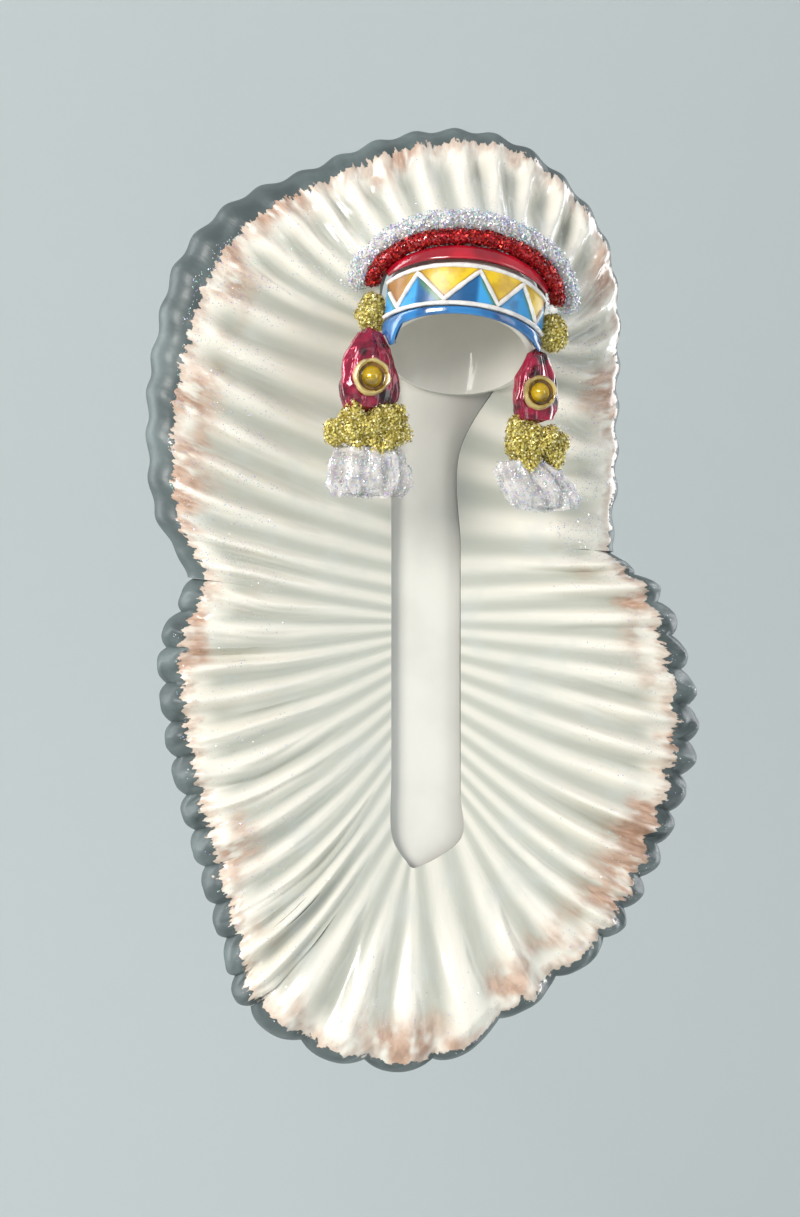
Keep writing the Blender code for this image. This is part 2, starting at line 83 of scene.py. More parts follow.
# %% Lights and world
def add_light(name, place, size, power, tint, aim=AIM):
    """A rectangular light of the given power in watts, turned towards a point."""
    data = bpy.data.lights.new(name, "AREA")
    data.shape = "RECTANGLE"
    data.size = size[0]
    data.size_y = size[1]
    data.energy = power
    data.color = tint
    lamp = bpy.data.objects.new(name, data)
    lamp.location = place
    lamp.rotation_euler = (Vector(aim) - Vector(place)).to_track_quat("-Z", "Y").to_euler()
    bpy.context.scene.collection.objects.link(lamp)


WARM_LAMP = (1.0, 0.98, 0.95)
COOL_LAMP = (0.95, 0.97, 1.0)
EDGE_LAMP = (0.94, 0.97, 1.0)
ROOM_LAMP = (0.95, 0.98, 1.0)
add_light("key", (-0.60, -0.50, 0.20), (0.30, 0.30), 5.8, WARM_LAMP)
add_light("fill", (0.60, -0.50, 0.05), (0.35, 0.60), 1.3, COOL_LAMP)
add_light("edge_left", (-0.55, 0.25, 0.10), (0.25, 0.70), 3.0, EDGE_LAMP)
add_light("edge_right", (0.55, 0.28, 0.05), (0.25, 0.70), 2.4, EDGE_LAMP)
add_light("backdrop_light", (0.0, 0.35, 0.75), (1.6, 0.3), 2.7, ROOM_LAMP, (0.1, 1.0, -0.1))
add_light("floor_light", (0.0, -2.3, 1.3), (5.0, 1.6), 20.0, ROOM_LAMP, (0.0, -2.6, 0.0))

world = bpy.data.worlds.new("studio")
world.use_nodes = True
room = world.node_tree.nodes["Background"]
room.inputs["Color"].default_value = (0.66, 0.71, 0.76, 1.0)
room.inputs["Strength"].default_value = 0.60
bpy.context.scene.world = world
bpy.context.scene.view_settings.view_transform = "Standard"
print("lights", len(bpy.data.lights))

# %% [markdown]
# ## Colours and nodes
# A colour is picked as it looks on screen, but the renderer works in linear light, so one function
# turns it. Materials are networks of nodes, which could be built by hand in the Shader Editor.
# Here one function adds a node of any kind. An input takes a plain value, or another node's output
# as a link, by its name or its number. A smooth Map Range turns noise into patches with soft
# edges, and a Mix node has its colours in inputs 6 and 7 and the mixed colour in output 2.

# %% Helpers for materials
def colour(code):
    """A colour as it looks on screen, such as C8A080, in the renderer's own values."""
    parts = [int(code[at:at + 2], 16) / 255.0 for at in (0, 2, 4)]
    return (*(p / 12.92 if p <= 0.04045 else ((p + 0.055) / 1.055) ** 2.4 for p in parts), 1.0)


def new_material(name):
    """A material with a Principled shader and nothing else."""
    material = bpy.data.materials.new(name)
    material.use_nodes = True
    return material


def fill_inputs(material, node, inputs):
    """Gives each input a value, or a link where the value is another node's output."""
    for key, value in inputs.items():
        if isinstance(value, bpy.types.NodeSocket):
            material.node_tree.links.new(value, node.inputs[key])
        else:
            node.inputs[key].default_value = value


def add_node(material, kind, inputs, output=0, **settings):
    """Adds one node with its settings, and inputs in order or by key, and gives one output."""
    node = material.node_tree.nodes.new("ShaderNode" + kind)
    for key, value in settings.items():
        setattr(node, key, value)
    fill_inputs(material, node, inputs if isinstance(inputs, dict) else dict(enumerate(inputs)))
    return node.outputs[output]


def set_surface(material, inputs):
    """Fills inputs of the Principled shader, which decides what the surface looks like."""
    fill_inputs(material, material.node_tree.nodes["Principled BSDF"], inputs)


SOFT = {"interpolation_type": "SMOOTHSTEP"}
BLEND = {"output": 2, "data_type": "RGBA"}
print("a mid grey of 808080 is", round(colour("808080")[0], 3), "in linear light")

# %% [markdown]
# ## Backdrop
# The photograph has a plain pale paper behind the ornament. A photographer hangs a roll of paper
# on a wall and lets it run out over the floor in one soft bend, so there is no line where the two
# meet. A grid is rolled over the same path: flat, then a quarter circle, then upright. It is very
# large, because it has to fill the picture from the front and from behind.

# %% Backdrop
FLOOR_HEIGHT = -0.32
FLOOR_LENGTH = 6.7
BEND_LENGTH = 0.5
WALL_HEIGHT = 2.5
BACKDROP_FRONT = -6.0
BACKDROP_HALF_WIDTH = 5.0
BEND_RADIUS = BEND_LENGTH * 2.0 / math.pi
BACKDROP_STEPS = 240

backdrop_mesh = bmesh.new()
bmesh.ops.create_grid(backdrop_mesh, x_segments=2, y_segments=BACKDROP_STEPS, size=1.0)
for vertex in backdrop_mesh.verts:
    run = (vertex.co.y + 1.0) / 2.0 * (FLOOR_LENGTH + BEND_LENGTH + WALL_HEIGHT)
    turn = min(max((run - FLOOR_LENGTH) / BEND_LENGTH, 0.0), 1.0) * math.pi / 2.0
    across = vertex.co.x * BACKDROP_HALF_WIDTH
    depth = BACKDROP_FRONT + min(run, FLOOR_LENGTH) + BEND_RADIUS * math.sin(turn)
    height = BEND_RADIUS * (1.0 - math.cos(turn)) + max(run - FLOOR_LENGTH - BEND_LENGTH, 0.0)
    vertex.co = (across, depth, FLOOR_HEIGHT + height)
backdrop_data = bpy.data.meshes.new("backdrop")
backdrop_mesh.to_mesh(backdrop_data)
backdrop_mesh.free()
backdrop_data.shade_smooth()

# Matte background paper: its fibres scatter light evenly, so it shows no glint
paper = new_material("matte paper")
set_surface(paper, {"Base Color": colour("CDD2D0"), "Roughness": 0.9})
backdrop_data.materials.append(paper)
backdrop = bpy.data.objects.new("backdrop", backdrop_data)
bpy.context.scene.collection.objects.link(backdrop)
print("backdrop faces", len(backdrop_data.polygons))

# %% [markdown]
# ## Brush marks
# A brush drawn along a feather leaves fine streaks, and its hairs lift off in teeth. An image of
# brushwork could be laid on, but noise never repeats, so each feather differs. The feathers' UV
# map counts feathers in one direction and millimetres in the other, and noise read from it with
# few marks along and many across is a streak. Flecks, clouds and smudges are the same all ways,
# so they are read from the place in the object. The grain of real paint is finer than the flecks
# here, and too fine to show.

# %% Brush marks
FLECK_WIDTH = 0.714 * MM
CLOUD_WIDTH = 6.25 * MM
SMUDGE_WIDTH = 13.33 * MM


def brush_marks(paint, uv):
    """Noises for the paint: three that follow the feathers, and three of a given width."""
    here = add_node(paint, "TexCoord", {}, "Object")
    marks = {}
    for use, across_feather, along_millimetre, detail in (
        ("streak", 8.0, 0.40, 3.0),
        ("tooth", 5.5, 0.35, 3.0),
        ("stroke", 3.2, 0.22, 2.0),
    ):
        scale = (across_feather, along_millimetre, 1.0)
        stretched = add_node(paint, "Mapping", {"Vector": uv, "Scale": scale})
        marks[use] = add_node(paint, "TexNoise", {"Vector": stretched, "Scale": 1.0, "Detail": detail})
    for use, width, detail in (
        ("fleck", FLECK_WIDTH, 2.0),
        ("cloud", CLOUD_WIDTH, 3.0),
        ("smudge", SMUDGE_WIDTH, 2.0),
    ):
        marks[use] = add_node(paint, "TexNoise", {"Vector": here, "Scale": 1.0 / width, "Detail": detail})
    return marks


print("flecks of", round(FLECK_WIDTH / MM, 2), "mm")

# %% [markdown]
# ## Paint on the feathers
# The whole ornament is sprayed black first. Pearl white is brushed over the feathers and stops
# short of their tips in a ragged edge, and a little brown is dabbed near it. One material holds
# all the coats, because a painter's edge follows the brush and not the edge of a mesh. The UV
# map's second value is the distance in millimetres inside the edge of the white.

# %% Painted feathers
PAINT_RELIEF = 0.18 * MM


def make_feather_material():
    """Pearl paint over black lacquer on blown glass.

    It gives the eye a satin white with painted grey shade in the valleys and near the roots and brown
    strokes, then a dull dark rim whose light grey is a painted reflection.
    """
    paint = new_material("pearl painted glass")
    uv = add_node(paint, "UVMap", {}, uv_map="feather")
    split = add_node(paint, "SeparateXYZ", [uv]).node
    across, inside = split.outputs[0], split.outputs[1]
    marks = brush_marks(paint, uv)

    # The edge of the white wanders by 2.1 mm either way, and flecks roughen it
    teeth = add_node(paint, "MapRange", [marks["tooth"], 0.0, 1.0, -2.1, 2.1])
    flecks = add_node(paint, "MapRange", [marks["fleck"], 0.0, 1.0, -0.45, 0.45])
    ragged = add_node(paint, "Math", [inside, teeth], operation="ADD")
    ragged = add_node(paint, "Math", [ragged, flecks], operation="ADD")
    painted = add_node(paint, "MapRange", [ragged, -0.10, 0.10], **SOFT)

    # Painted shade: the white is greyer in the valleys between the crests and near the roots, where shade
    # falls, and greyer at random in cloudy patches
    share = add_node(paint, "Math", [across], operation="FRACT")
    from_crest = add_node(paint, "Math", [share, 0.5], operation="SUBTRACT")
    from_crest = add_node(paint, "Math", [from_crest], operation="ABSOLUTE")
    valley_shade = add_node(paint, "MapRange", [from_crest, 0.06, 0.44, 0.0, 0.8], **SOFT)
    from_rim = add_node(paint, "MapRange", [inside, 0.5, 6.0], **SOFT)
    valley_shade = add_node(paint, "Math", [valley_shade, from_rim], operation="MULTIPLY")
    white = add_node(paint, "Mix", {0: valley_shade, 6: colour("F4EDDF"), 7: colour("A8AB9E")}, **BLEND)
    # Painted shade that deepens towards the roots
    root_shade = add_node(paint, "MapRange", [inside, 8.0, 24.0, 0.0, 0.4], **SOFT)
    white = add_node(paint, "Mix", {0: root_shade, 6: white, 7: colour("C4C5B9")}, **BLEND)
    cloudy = add_node(paint, "MapRange", [marks["cloud"], 0.50, 0.75, 0.0, 0.35], **SOFT)
    white = add_node(paint, "Mix", {0: cloudy, 6: white, 7: colour("C9CCC8")}, **BLEND)

    # Brown strokes near the tips, strongest where a smudge or the rim lies
    tipped = add_node(paint, "MapRange", [ragged, 2.2, 9.5, 0.9, 0.0], **SOFT)
    brush = add_node(paint, "MapRange", [marks["stroke"], 0.30, 0.52], **SOFT)
    smudge = add_node(paint, "MapRange", [marks["smudge"], 0.46, 0.59], **SOFT)
    rim_tint = add_node(paint, "MapRange", [ragged, 0.2, 2.6, 0.65, 0.0], **SOFT)
    smudge = add_node(paint, "Math", [smudge, rim_tint], operation="MAXIMUM")
    brown = add_node(paint, "Math", [tipped, brush], operation="MULTIPLY")
    brown = add_node(paint, "Math", [brown, smudge], operation="MULTIPLY")
    streaky = add_node(paint, "MapRange", [marks["streak"], 0.35, 0.65], **SOFT)
    tan = add_node(paint, "Mix", {0: streaky, 6: colour("CBA58C"), 7: colour("A87E64")}, **BLEND)
    white = add_node(paint, "Mix", {0: brown, 6: white, 7: tan}, **BLEND)

    # The black coat beyond the white has less gloss, and the white stands a little proud of it
    # The black is painted a light blue-grey, a painted reflection of the bright surroundings, made uneven
    # by noise
    patchy_black = add_node(paint, "MapRange", [marks["cloud"], 0.4, 0.7], **SOFT)
    black = add_node(paint, "Mix", {0: patchy_black, 6: colour("4A5353"), 7: colour("606B6A")}, **BLEND)
    shade = add_node(paint, "Mix", {0: painted, 6: black, 7: white}, **BLEND)
    step = add_node(paint, "Math", [painted, 0.8], operation="MULTIPLY")
    relief = add_node(paint, "Math", [marks["streak"], 0.5, step], operation="MULTIPLY_ADD")
    set_surface(paint, {
        "Base Color": shade,
        "Roughness": add_node(paint, "MapRange", [painted, 0.0, 1.0, 0.44, 0.32]),
        "IOR": 1.5,
        "Coat Weight": add_node(paint, "MapRange", [painted, 0.0, 1.0, 0.05, 0.55]),
        "Coat Roughness": 0.13,
        "Normal": add_node(paint, "Bump", {"Height": relief, "Distance": PAINT_RELIEF, "Strength": 0.8}),
    })
    return paint


MATERIALS = {"feather": make_feather_material()}
print("nodes in the paint", len(MATERIALS["feather"].node_tree.nodes))

# %% [markdown]
# ## Lacquers and enamels
# The bands and drapes are clear coloured lacquer over the silvered glass, and the bosses, tufts
# and lines are thicker enamel. A brush leaves both uneven: they pool darker in places. Noise
# between two colours gives that, with a slight bump, under a clear coat that makes the glint.
# On the magenta drapes the darker colour is painted shade and painted reflection, and on the
# white fur and roll it is painted shade. The sizes are the widths in millimetres of the darker patches.

# %% Lacquers
def make_lacquer(name, first, second, patch, roughness=0.14, metallic=0.0, relief=0.1, coat=1.0):
    """Lacquer or enamel in two colours, with patches and relief given in millimetres."""
    lacquer = new_material(name)
    here = add_node(lacquer, "TexCoord", {}, "Object")
    cloud = add_node(lacquer, "TexNoise", {"Vector": here, "Scale": 1.0 / (patch * MM), "Detail": 3.0})
    pooled = add_node(lacquer, "MapRange", [cloud, 0.38, 0.66], **SOFT)
    set_surface(lacquer, {
        "Base Color": add_node(lacquer, "Mix", {0: pooled, 6: colour(first), 7: colour(second)}, **BLEND),
        "Metallic": metallic,
        "Roughness": add_node(lacquer, "MapRange", [cloud, 0.0, 1.0, roughness, roughness + 0.08]),
        "IOR": 1.5,
        "Coat Weight": coat,
        "Coat Roughness": 0.05,
        "Normal": add_node(lacquer, "Bump", {"Height": cloud, "Distance": relief * MM, "Strength": 1.0}),
    })
    return lacquer


MATERIALS.update({
    # A thin sprayed coat, rubbed by handling: a soft dark grey with little gloss
    "back": make_lacquer("black lacquer on glass", "3B4446", "4A5455", 3.846, 0.34, 0.0, 0.1, 0.2),
    # Thick enamel drawn from a nozzle: a bright white bead that catches the light on top
    "white line": make_lacquer("raised white enamel", "ECE7E1", "D6CFCA", 1.4286, 0.34),
    # Clear lacquers over silver: deep colours, with a hard glint of the key light
    "blue": make_lacquer("blue lacquer", "2779B8", "0B3269", 5.882),
    "red": make_lacquer("red lacquer", "C8142C", "8E0A1E", 5.882),
    # Bright magenta lacquer over silver, with noise patches of near black that are painted shade and
    # painted reflections of dark surroundings in the silver
    "magenta": make_lacquer("magenta lacquer", "A80E3C", "1A0206", 2.941, 0.12, 0.3, 0.5),
    # The bosses: a dull cream ring, a dark groove and a dome with a metallic glow
    "cream": make_lacquer("cream enamel", "C9B273", "8C7436", 2.381, 0.25),
    "groove": make_lacquer("dark amber lacquer", "7A5414", "3E280A", 2.0),
    "gold": make_lacquer("gold lacquer", "D6AE14", "7E620C", 3.03, 0.15, 0.3),
    # The glue under gold glitter takes its colour, so gaps between the flakes don't look dark
    "tuft": make_lacquer("olive gold enamel", "D2C25E", "A8983C", 2.0, 0.4),
    # White over silver, seen in the hollow: even, pale and only a little shiny
    "plain": make_lacquer("silvered white glass", "E6E2D8", "DEDAD0", 11.11, 0.36, 0.0, 0.1, 0.3),
    # Satin white brushed over the moulded strands, whose ridges and furrows are real relief; its greyer
    # patches of noise are painted shade
    "fur": make_lacquer("satin white enamel", "D9D2CC", "B3ABA6", 2.381, 0.42, 0.0, 0.3),
})
print("lacquers and enamels", len(MATERIALS) - 1)

# %% [markdown]
# ## Glitter
# Craft glitter is cut from metal foil or from clear film, and is shaken onto wet glue. Noise could
# fake it in a bump, but real flakes lie at odd angles and flash one by one, so each is a small
# face. They share one material, and the number in a flake's UV map picks its tint.

# %% Foil glitter
def make_flakes(name, codes, roughness, metallic):
    """Cut foil or film in a few tints, one for each flake."""
    foil = new_material(name)
    uv = add_node(foil, "UVMap", {}, uv_map="flake")
    tint = add_node(foil, "ValToRGB", [add_node(foil, "SeparateXYZ", [uv])])
    steps = tint.node.color_ramp
    steps.interpolation = "CONSTANT"
    for index, code in enumerate(codes):
        stop = steps.elements[index] if index < 2 else steps.elements.new(index / len(codes))
        stop.position = index / len(codes)
        stop.color = colour(code)
    set_surface(foil, {"Base Color": tint, "Metallic": metallic, "Roughness": roughness, "IOR": 1.5})
    return foil


RED_TINTS = ["A81419", "6E0A0E", "CC2A24", "8C0F14", "D8483A"]
FILM_TINTS = ["F4F4F0", "E6E8EC", "F6F4EE", "B2C0F2", "EDECE8", "D2AEEA", "F6F5F0", "A6E0D6"]
GOLD_TINTS = ["EEDF86", "CDB955", "F8EEB8", "DACA6C", "A08C3C"]
MATERIALS.update({
    # Red foil: dark flakes and a few bright ones, like coarse wet sand
    "red flakes": make_flakes("red foil glitter", RED_TINTS, 0.3, 0.8),
    # Clear film: mostly white, with a flash of blue, violet or green here and there
    "white flakes": make_flakes("iridescent film glitter", FILM_TINTS, 0.22, 0.25),
    # Pale gold foil under a dull varnish: bright lemon beside olive
    "gold flakes": make_flakes("gold foil glitter", GOLD_TINTS, 0.36, 0.35),
})
print("materials", len(MATERIALS))

# %% [markdown]
# ## Paint on the brow band
# Strips of beadwork have such a zigzag. Here it is painted: amber lacquer above the line and blue
# below it, both darker where they pool against it, and a little green where they meet. The colours
# could be cut out as faces, but brushed lacquer has no hard edges, so they are mixed in the
# material. The band's UV map counts the turns of the zigzag along it, and runs from 0 to 1 up.

# %% Triangles of the brow band
ZIG_LOW = 0.12
ZIG_HIGH = 0.86
BROW_PATCH = 2.381 * MM
BROW_RELIEF = 0.1 * MM


def make_brow_material():
    """Amber and blue lacquers either side of a zigzag, softly glossy and uneven like ink."""
    band = new_material("brow band lacquers")
    split = add_node(band, "SeparateXYZ", [add_node(band, "UVMap", {}, uv_map="band")]).node
    along, up = split.outputs[0], split.outputs[1]
    here = add_node(band, "TexCoord", {}, "Object")
    cloud = add_node(band, "TexNoise", {"Vector": here, "Scale": 1.0 / BROW_PATCH, "Detail": 3.0})

    # How far above the zigzag a place lies, as a share of the band's height
    wave = add_node(band, "Math", [along, 1.0], operation="PINGPONG")
    line = add_node(band, "MapRange", [wave, 0.0, 1.0, ZIG_HIGH, ZIG_LOW])
    above = add_node(band, "Math", [up, line], operation="SUBTRACT")
    gap = add_node(band, "Math", [above], operation="ABSOLUTE")
    beside = add_node(band, "MapRange", [gap, 0.05, 0.34, 1.0, 0.0], **SOFT)
    pooled = add_node(band, "MapRange", [gap, 0.06, 0.16, 1.0, 0.0], **SOFT)

    # Amber, browner at the left temple
    rightward = add_node(band, "MapRange", [along, 0.8, 3.2], **SOFT)
    warm = add_node(band, "Mix", {0: rightward, 6: colour("8C5814"), 7: colour("E6C010")}, **BLEND)
    patchy = add_node(band, "MapRange", [cloud, 0.42, 0.68, 0.0, 0.55], **SOFT)
    warm = add_node(band, "Mix", {0: patchy, 6: warm, 7: colour("A87410")}, **BLEND)
    dark = add_node(band, "Math", [pooled, 0.7], operation="MULTIPLY")
    warm = add_node(band, "Mix", {0: dark, 6: warm, 7: colour("7A4A10")}, **BLEND)

    # Blue, deepest in the middle, with green on one side of each triangle
    starts = add_node(band, "MapRange", [along, 1.9, 2.1], **SOFT)
    stops = add_node(band, "MapRange", [along, 3.9, 4.1], **SOFT)
    middle = add_node(band, "Math", [starts, stops], operation="SUBTRACT")
    cool = add_node(band, "Mix", {0: middle, 6: colour("3C9CD8"), 7: colour("15588C")}, **BLEND)
    patchy = add_node(band, "MapRange", [cloud, 0.45, 0.7, 0.0, 0.6], **SOFT)
    cool = add_node(band, "Mix", {0: patchy, 6: cool, 7: colour("0D4674")}, **BLEND)
    half = add_node(band, "Math", [along, 0.5, 0.5], operation="MULTIPLY_ADD")
    half = add_node(band, "Math", [half], operation="FRACT")
    one_side = add_node(band, "MapRange", [half, 0.48, 0.6], **SOFT)
    green = add_node(band, "Math", [beside, one_side], operation="MULTIPLY")
    cool = add_node(band, "Mix", {0: green, 6: cool, 7: colour("4A7D2C")}, **BLEND)
    dark = add_node(band, "Math", [pooled, 0.6], operation="MULTIPLY")
    cool = add_node(band, "Mix", {0: dark, 6: cool, 7: colour("0B3350")}, **BLEND)

    over = add_node(band, "MapRange", [above, -0.02, 0.02], **SOFT)
    set_surface(band, {
        "Base Color": add_node(band, "Mix", {0: over, 6: cool, 7: warm}, **BLEND),
        "Roughness": 0.36,
        "Coat Weight": 0.2,
        "Coat Roughness": 0.16,
        "Normal": add_node(band, "Bump", {"Height": cloud, "Distance": BROW_RELIEF, "Strength": 1.0}),
    })
    return band


MATERIALS["brow"] = make_brow_material()
print("nodes in the band", len(MATERIALS["brow"].node_tree.nodes))

# %% [markdown]
# ## Placing a piece
# Each finished piece stands for one plain solid. It rides on the headdress, takes that solid's
# place and carries its material slot. Shapes are made as bmeshes, which are quick to edit in a
# script, and walls come from a Solidify modifier, as glass is one even skin that follows its mould.


def place(item, node):
    """Puts an object into the scene in the place of one solid."""
    bpy.context.scene.collection.objects.link(item)
    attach(item, "root")
    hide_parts(node)
    return item


def piece_from(mesh, name, node, materials, smooth_angle=60.0, sharp_rim=False):
    """An object from a bmesh, smooth apart from edges sharper than the angle, and maybe its rim."""
    data = bpy.data.meshes.new(name)
    rim = [index for index, edge in enumerate(mesh.edges) if sharp_rim and edge.is_boundary]
    mesh.to_mesh(data)
    mesh.free()
    data.shade_smooth()
    data.set_sharp_from_angle(angle=math.radians(smooth_angle))
    for index in rim:
        data.edges[index].use_edge_sharp = True
    for material in materials:
        data.materials.append(material)
    return place(bpy.data.objects.new(name, data), node)


def thicken(item, thickness, back=0):
    """Gives an open sheet a wall behind it. The back and rim take the material of that number."""
    wall = item.modifiers.new("wall", "SOLIDIFY")
    wall.thickness = thickness
    wall.offset = -1.0
    wall.material_offset = back
    wall.material_offset_rim = back
    return item


# %% [markdown]
# ## Scattering glitter
# A particle system could scatter the flakes, but they would be separate copies. Here the places
# are drawn at random on a piece's triangles, the large ones more often, and one joined mesh holds
# every flake of the piece. The seed makes the draw come out the same each time.

# %% Glitter flakes
# How many flakes lie on a piece, their size, how far they tilt and how far they stand off
GLITTER = {
    "cord": (6500, 0.36 * MM, 0.6, 0.4 * MM),
    "roll": (9000, 0.32 * MM, 0.7, 0.7 * MM),
    "drop tuft": (7200, 0.38 * MM, 0.7, 0.65 * MM),
    "fur drop": (3600, 0.23 * MM, 0.6, 0.25 * MM),
    "temple tuft": (2600, 0.37 * MM, 0.7, 0.55 * MM),
    "crown feather": (240, 0.20 * MM, 0.5, 0.05 * MM),
    "trailer feather": (150, 0.20 * MM, 0.5, 0.05 * MM),
    "trailer end": (260, 0.20 * MM, 0.5, 0.05 * MM),
}
SMALLEST_HALF, LARGEST_HALF = 0.35, 0.6


def add_flakes(item, node, material, count, size, tilt, lift, seed, keep=None):
    """Small square flakes at odd angles on a piece, in one mesh. The keep function weights places."""
    dice = np.random.default_rng(seed)
    data = item.data
    data.calc_loop_triangles()
    corners = np.array([vertex.co for vertex in data.vertices])
    triangles = np.array([triangle.vertices for triangle in data.loop_triangles])
    a, b, c = (corners[triangles[:, index]] for index in range(3))
    normals = np.cross(b - a, c - a)
    areas = np.linalg.norm(normals, axis=1)
    if keep is not None:
        areas = areas * keep(corners[triangles].mean(axis=1), normals)
    chosen = dice.choice(len(triangles), count, p=areas / areas.sum())
    u, v = dice.random(count), dice.random(count)
    folded = u + v > 1.0
    u[folded], v[folded] = 1.0 - u[folded], 1.0 - v[folded]
    middles = a[chosen] + (b - a)[chosen] * u[:, None] + (c - a)[chosen] * v[:, None]
    facing = normals[chosen] / np.linalg.norm(normals[chosen], axis=1)[:, None]
    facing = facing + dice.normal(0.0, tilt, (count, 3))
    facing /= np.linalg.norm(facing, axis=1)[:, None]
    side = np.cross(facing, dice.normal(0.0, 1.0, (count, 3)))
    side /= np.linalg.norm(side, axis=1)[:, None]
    other = np.cross(facing, side)
    reach = size * dice.uniform(SMALLEST_HALF, LARGEST_HALF, count)[:, None]
    middles = middles + facing * lift * dice.random(count)[:, None]
    steps = [side * reach, other * reach, -side * reach, -other * reach]
    points = np.stack([middles + step for step in steps], axis=1).reshape(-1, 3)
    mesh = bpy.data.meshes.new(node + "_glitter")
    mesh.from_pydata(points.tolist(), [], np.arange(count * 4).reshape(-1, 4).tolist())
    tints = np.repeat(dice.random(count), 4)
    layer = mesh.uv_layers.new(name="flake")
    layer.data.foreach_set("uv", np.stack([tints, tints], axis=1).ravel())
    mesh.materials.append(material)
    return place(bpy.data.objects.new(node + "_glitter", mesh), node)


print("kinds of glitter", len(GLITTER))

# %% [markdown]
# ## Measures of the feathers
# A real trailer bonnet has single feathers laced side by side. In blown glass they are one ruff
# with a crest for each feather. The plain solids were made from the same measures, so the fine
# feathers lie where they do. Each length is written once, in millimetres.

# %% Measures
LEFT_REACH = 44.5 * MM
RIGHT_REACH = 40.8 * MM
CROWN_RISE = 29.6 * MM
TRAILER_DROP = 111.0 * MM
RUFF_FRONT = 7.6 * MM
FEATHER_WALL = 1.1 * MM
CROWN_NOTCH = 0.6 * MM
TRAILER_NOTCH = 1.4 * MM
NOTCH_SHARPNESS = 2.5
TIP_FLATNESS = 0.5
ROLL_RADIUS = 4.4 * MM
ROLL_TURN = math.radians(82.0)
CAP_HALF_WIDTH = 11.1 * MM
CAP_HALF_DEPTH = 11.9 * MM
DOME_BASE = 3.0 * MM
DOME_RISE = 8.6 * MM
RIM_FRONT = 0.3 * MM
RIM_BACK = -10.0 * MM
ROOT_RING_FRONT = 11.9 * MM
ROOT_RING_FRONT_DEPTH = -5.8 * MM
ROOT_RING_BACK = -9.5 * MM
ROOT_STAND_OFF = 1.3 * MM
STRIP_CENTRE = -2.5 * MM
STRIP_WIDTH = 17.0 * MM
STRIP_YOKE_WIDTH = 27.0 * MM
STRIP_YOKE_DROP = 16.0 * MM
STRIP_TOP = -2.5 * MM
STRIP_FRONT = 12.2 * MM
ROOTS_TOP = -12.0 * MM
ROOTS_BOTTOM = -80.0 * MM
ROOT_LAP = 3.2 * MM
ROOT_CLEARANCE = 1.7 * MM
HEAD = Matrix.Rotation(math.radians(-10.0), 4, "Z") @ Matrix.Rotation(math.radians(6.0), 4, "Y")
print("ruff", round((LEFT_REACH + RIGHT_REACH) / MM, 1), "by", round((CROWN_RISE + TRAILER_DROP) / MM, 1))

# %% [markdown]
# ## Stations round the ruff
# The outline of the ruff isn't a plain curve: it has a waist on each side and a lean to the left.
# One long curve could be drawn by hand, but a table of stations also says where each feather is
# rooted, how far it bows and how wide its black rim is. The feathers in between are blended.

# %% Stations
# Tip across and up as shares, what the root sits on, its side, its place, the bow,
# and how many millimetres of black show beyond the white paint
STATIONS = [
    (-0.03, -0.990, "strip", -0.2, 1.000, 0.00, 1.6),
    (-0.382, -0.977, "strip", -0.6, 0.985, 0.00, 1.6),
    (-0.672, -0.910, "strip", -1.0, 0.925, 0.02, 2.0),
    (-0.755, -0.820, "strip", -1.0, 0.800, 0.05, 2.2),
    (-0.861, -0.676, "strip", -1.0, 0.670, 0.05, 2.4),
    (-0.942, -0.540, "strip", -1.0, 0.560, 0.04, 2.6),
    (-0.960, -0.424, "strip", -1.0, 0.490, 0.02, 2.6),
    (-0.872, -0.335, "strip", -1.0, 0.440, 0.00, 2.2),
    (-0.978, -0.245, "strip", -1.0, 0.360, 0.02, 3.0),
    (-1.000, -0.118, "strip", -1.0, 0.230, 0.02, 3.6),
    (-0.975, -0.027, "strip", -1.0, 0.080, 0.03, 4.2),
    (-0.899, 0.304, "cap", -1.0, -134.0, 0.05, 4.8),
    (-0.719, 0.601, "cap", -1.0, -110.0, 0.05, 3.8),
    (-0.449, 0.784, "cap", -1.0, -86.0, 0.02, 2.6),
    (-0.193, 0.942, "cap", -1.0, -60.0, 0.00, 2.4),
    (0.060, 1.000, "cap", -1.0, 8.0, 0.00, 2.2),
    (0.280, 0.945, "cap", -1.0, 55.0, 0.00, 1.8),
    (0.474, 0.760, "cap", -1.0, 80.0, -0.02, 1.6),
    (0.622, 0.485, "cap", -1.0, 98.0, -0.05, 1.3),
    (0.678, 0.135, "cap", -1.0, 114.0, -0.10, 1.0),
    (0.678, -0.080, "cap", -1.0, 131.0, -0.10, 1.0),
    (0.674, -0.200, "strip", 1.0, 0.090, -0.04, 1.0),
    (0.670, -0.300, "strip", 1.0, 0.300, 0.00, 1.8),
    (0.840, -0.352, "strip", 1.0, 0.420, 0.00, 3.4),
    (0.945, -0.450, "strip", 1.0, 0.500, 0.00, 4.4),
    (0.980, -0.540, "strip", 1.0, 0.570, -0.02, 4.6),
    (0.930, -0.628, "strip", 1.0, 0.650, -0.04, 4.2),
    (0.812, -0.727, "strip", 1.0, 0.745, -0.05, 3.4),
    (0.640, -0.828, "strip", 1.0, 0.845, -0.04, 2.6),
    (0.348, -0.908, "strip", 1.0, 0.940, -0.02, 2.0),
]
# Each run's name, its first and last station, its feathers, how many share a piece, and its notch
RUNS = [
    ("trailer_feathers_left", 2.0, 7.0, 12, 2, TRAILER_NOTCH),
    ("crown_feather", 7.0, 22.0, 28, 1, CROWN_NOTCH),
    ("trailer_feathers_right", 22.0, 28.0, 12, 2, TRAILER_NOTCH),
    ("trailer_end", 28.0, 32.0, 6, 6, TRAILER_NOTCH),
]
print("stations", len(STATIONS), "feathers", sum(run[3] for run in RUNS))

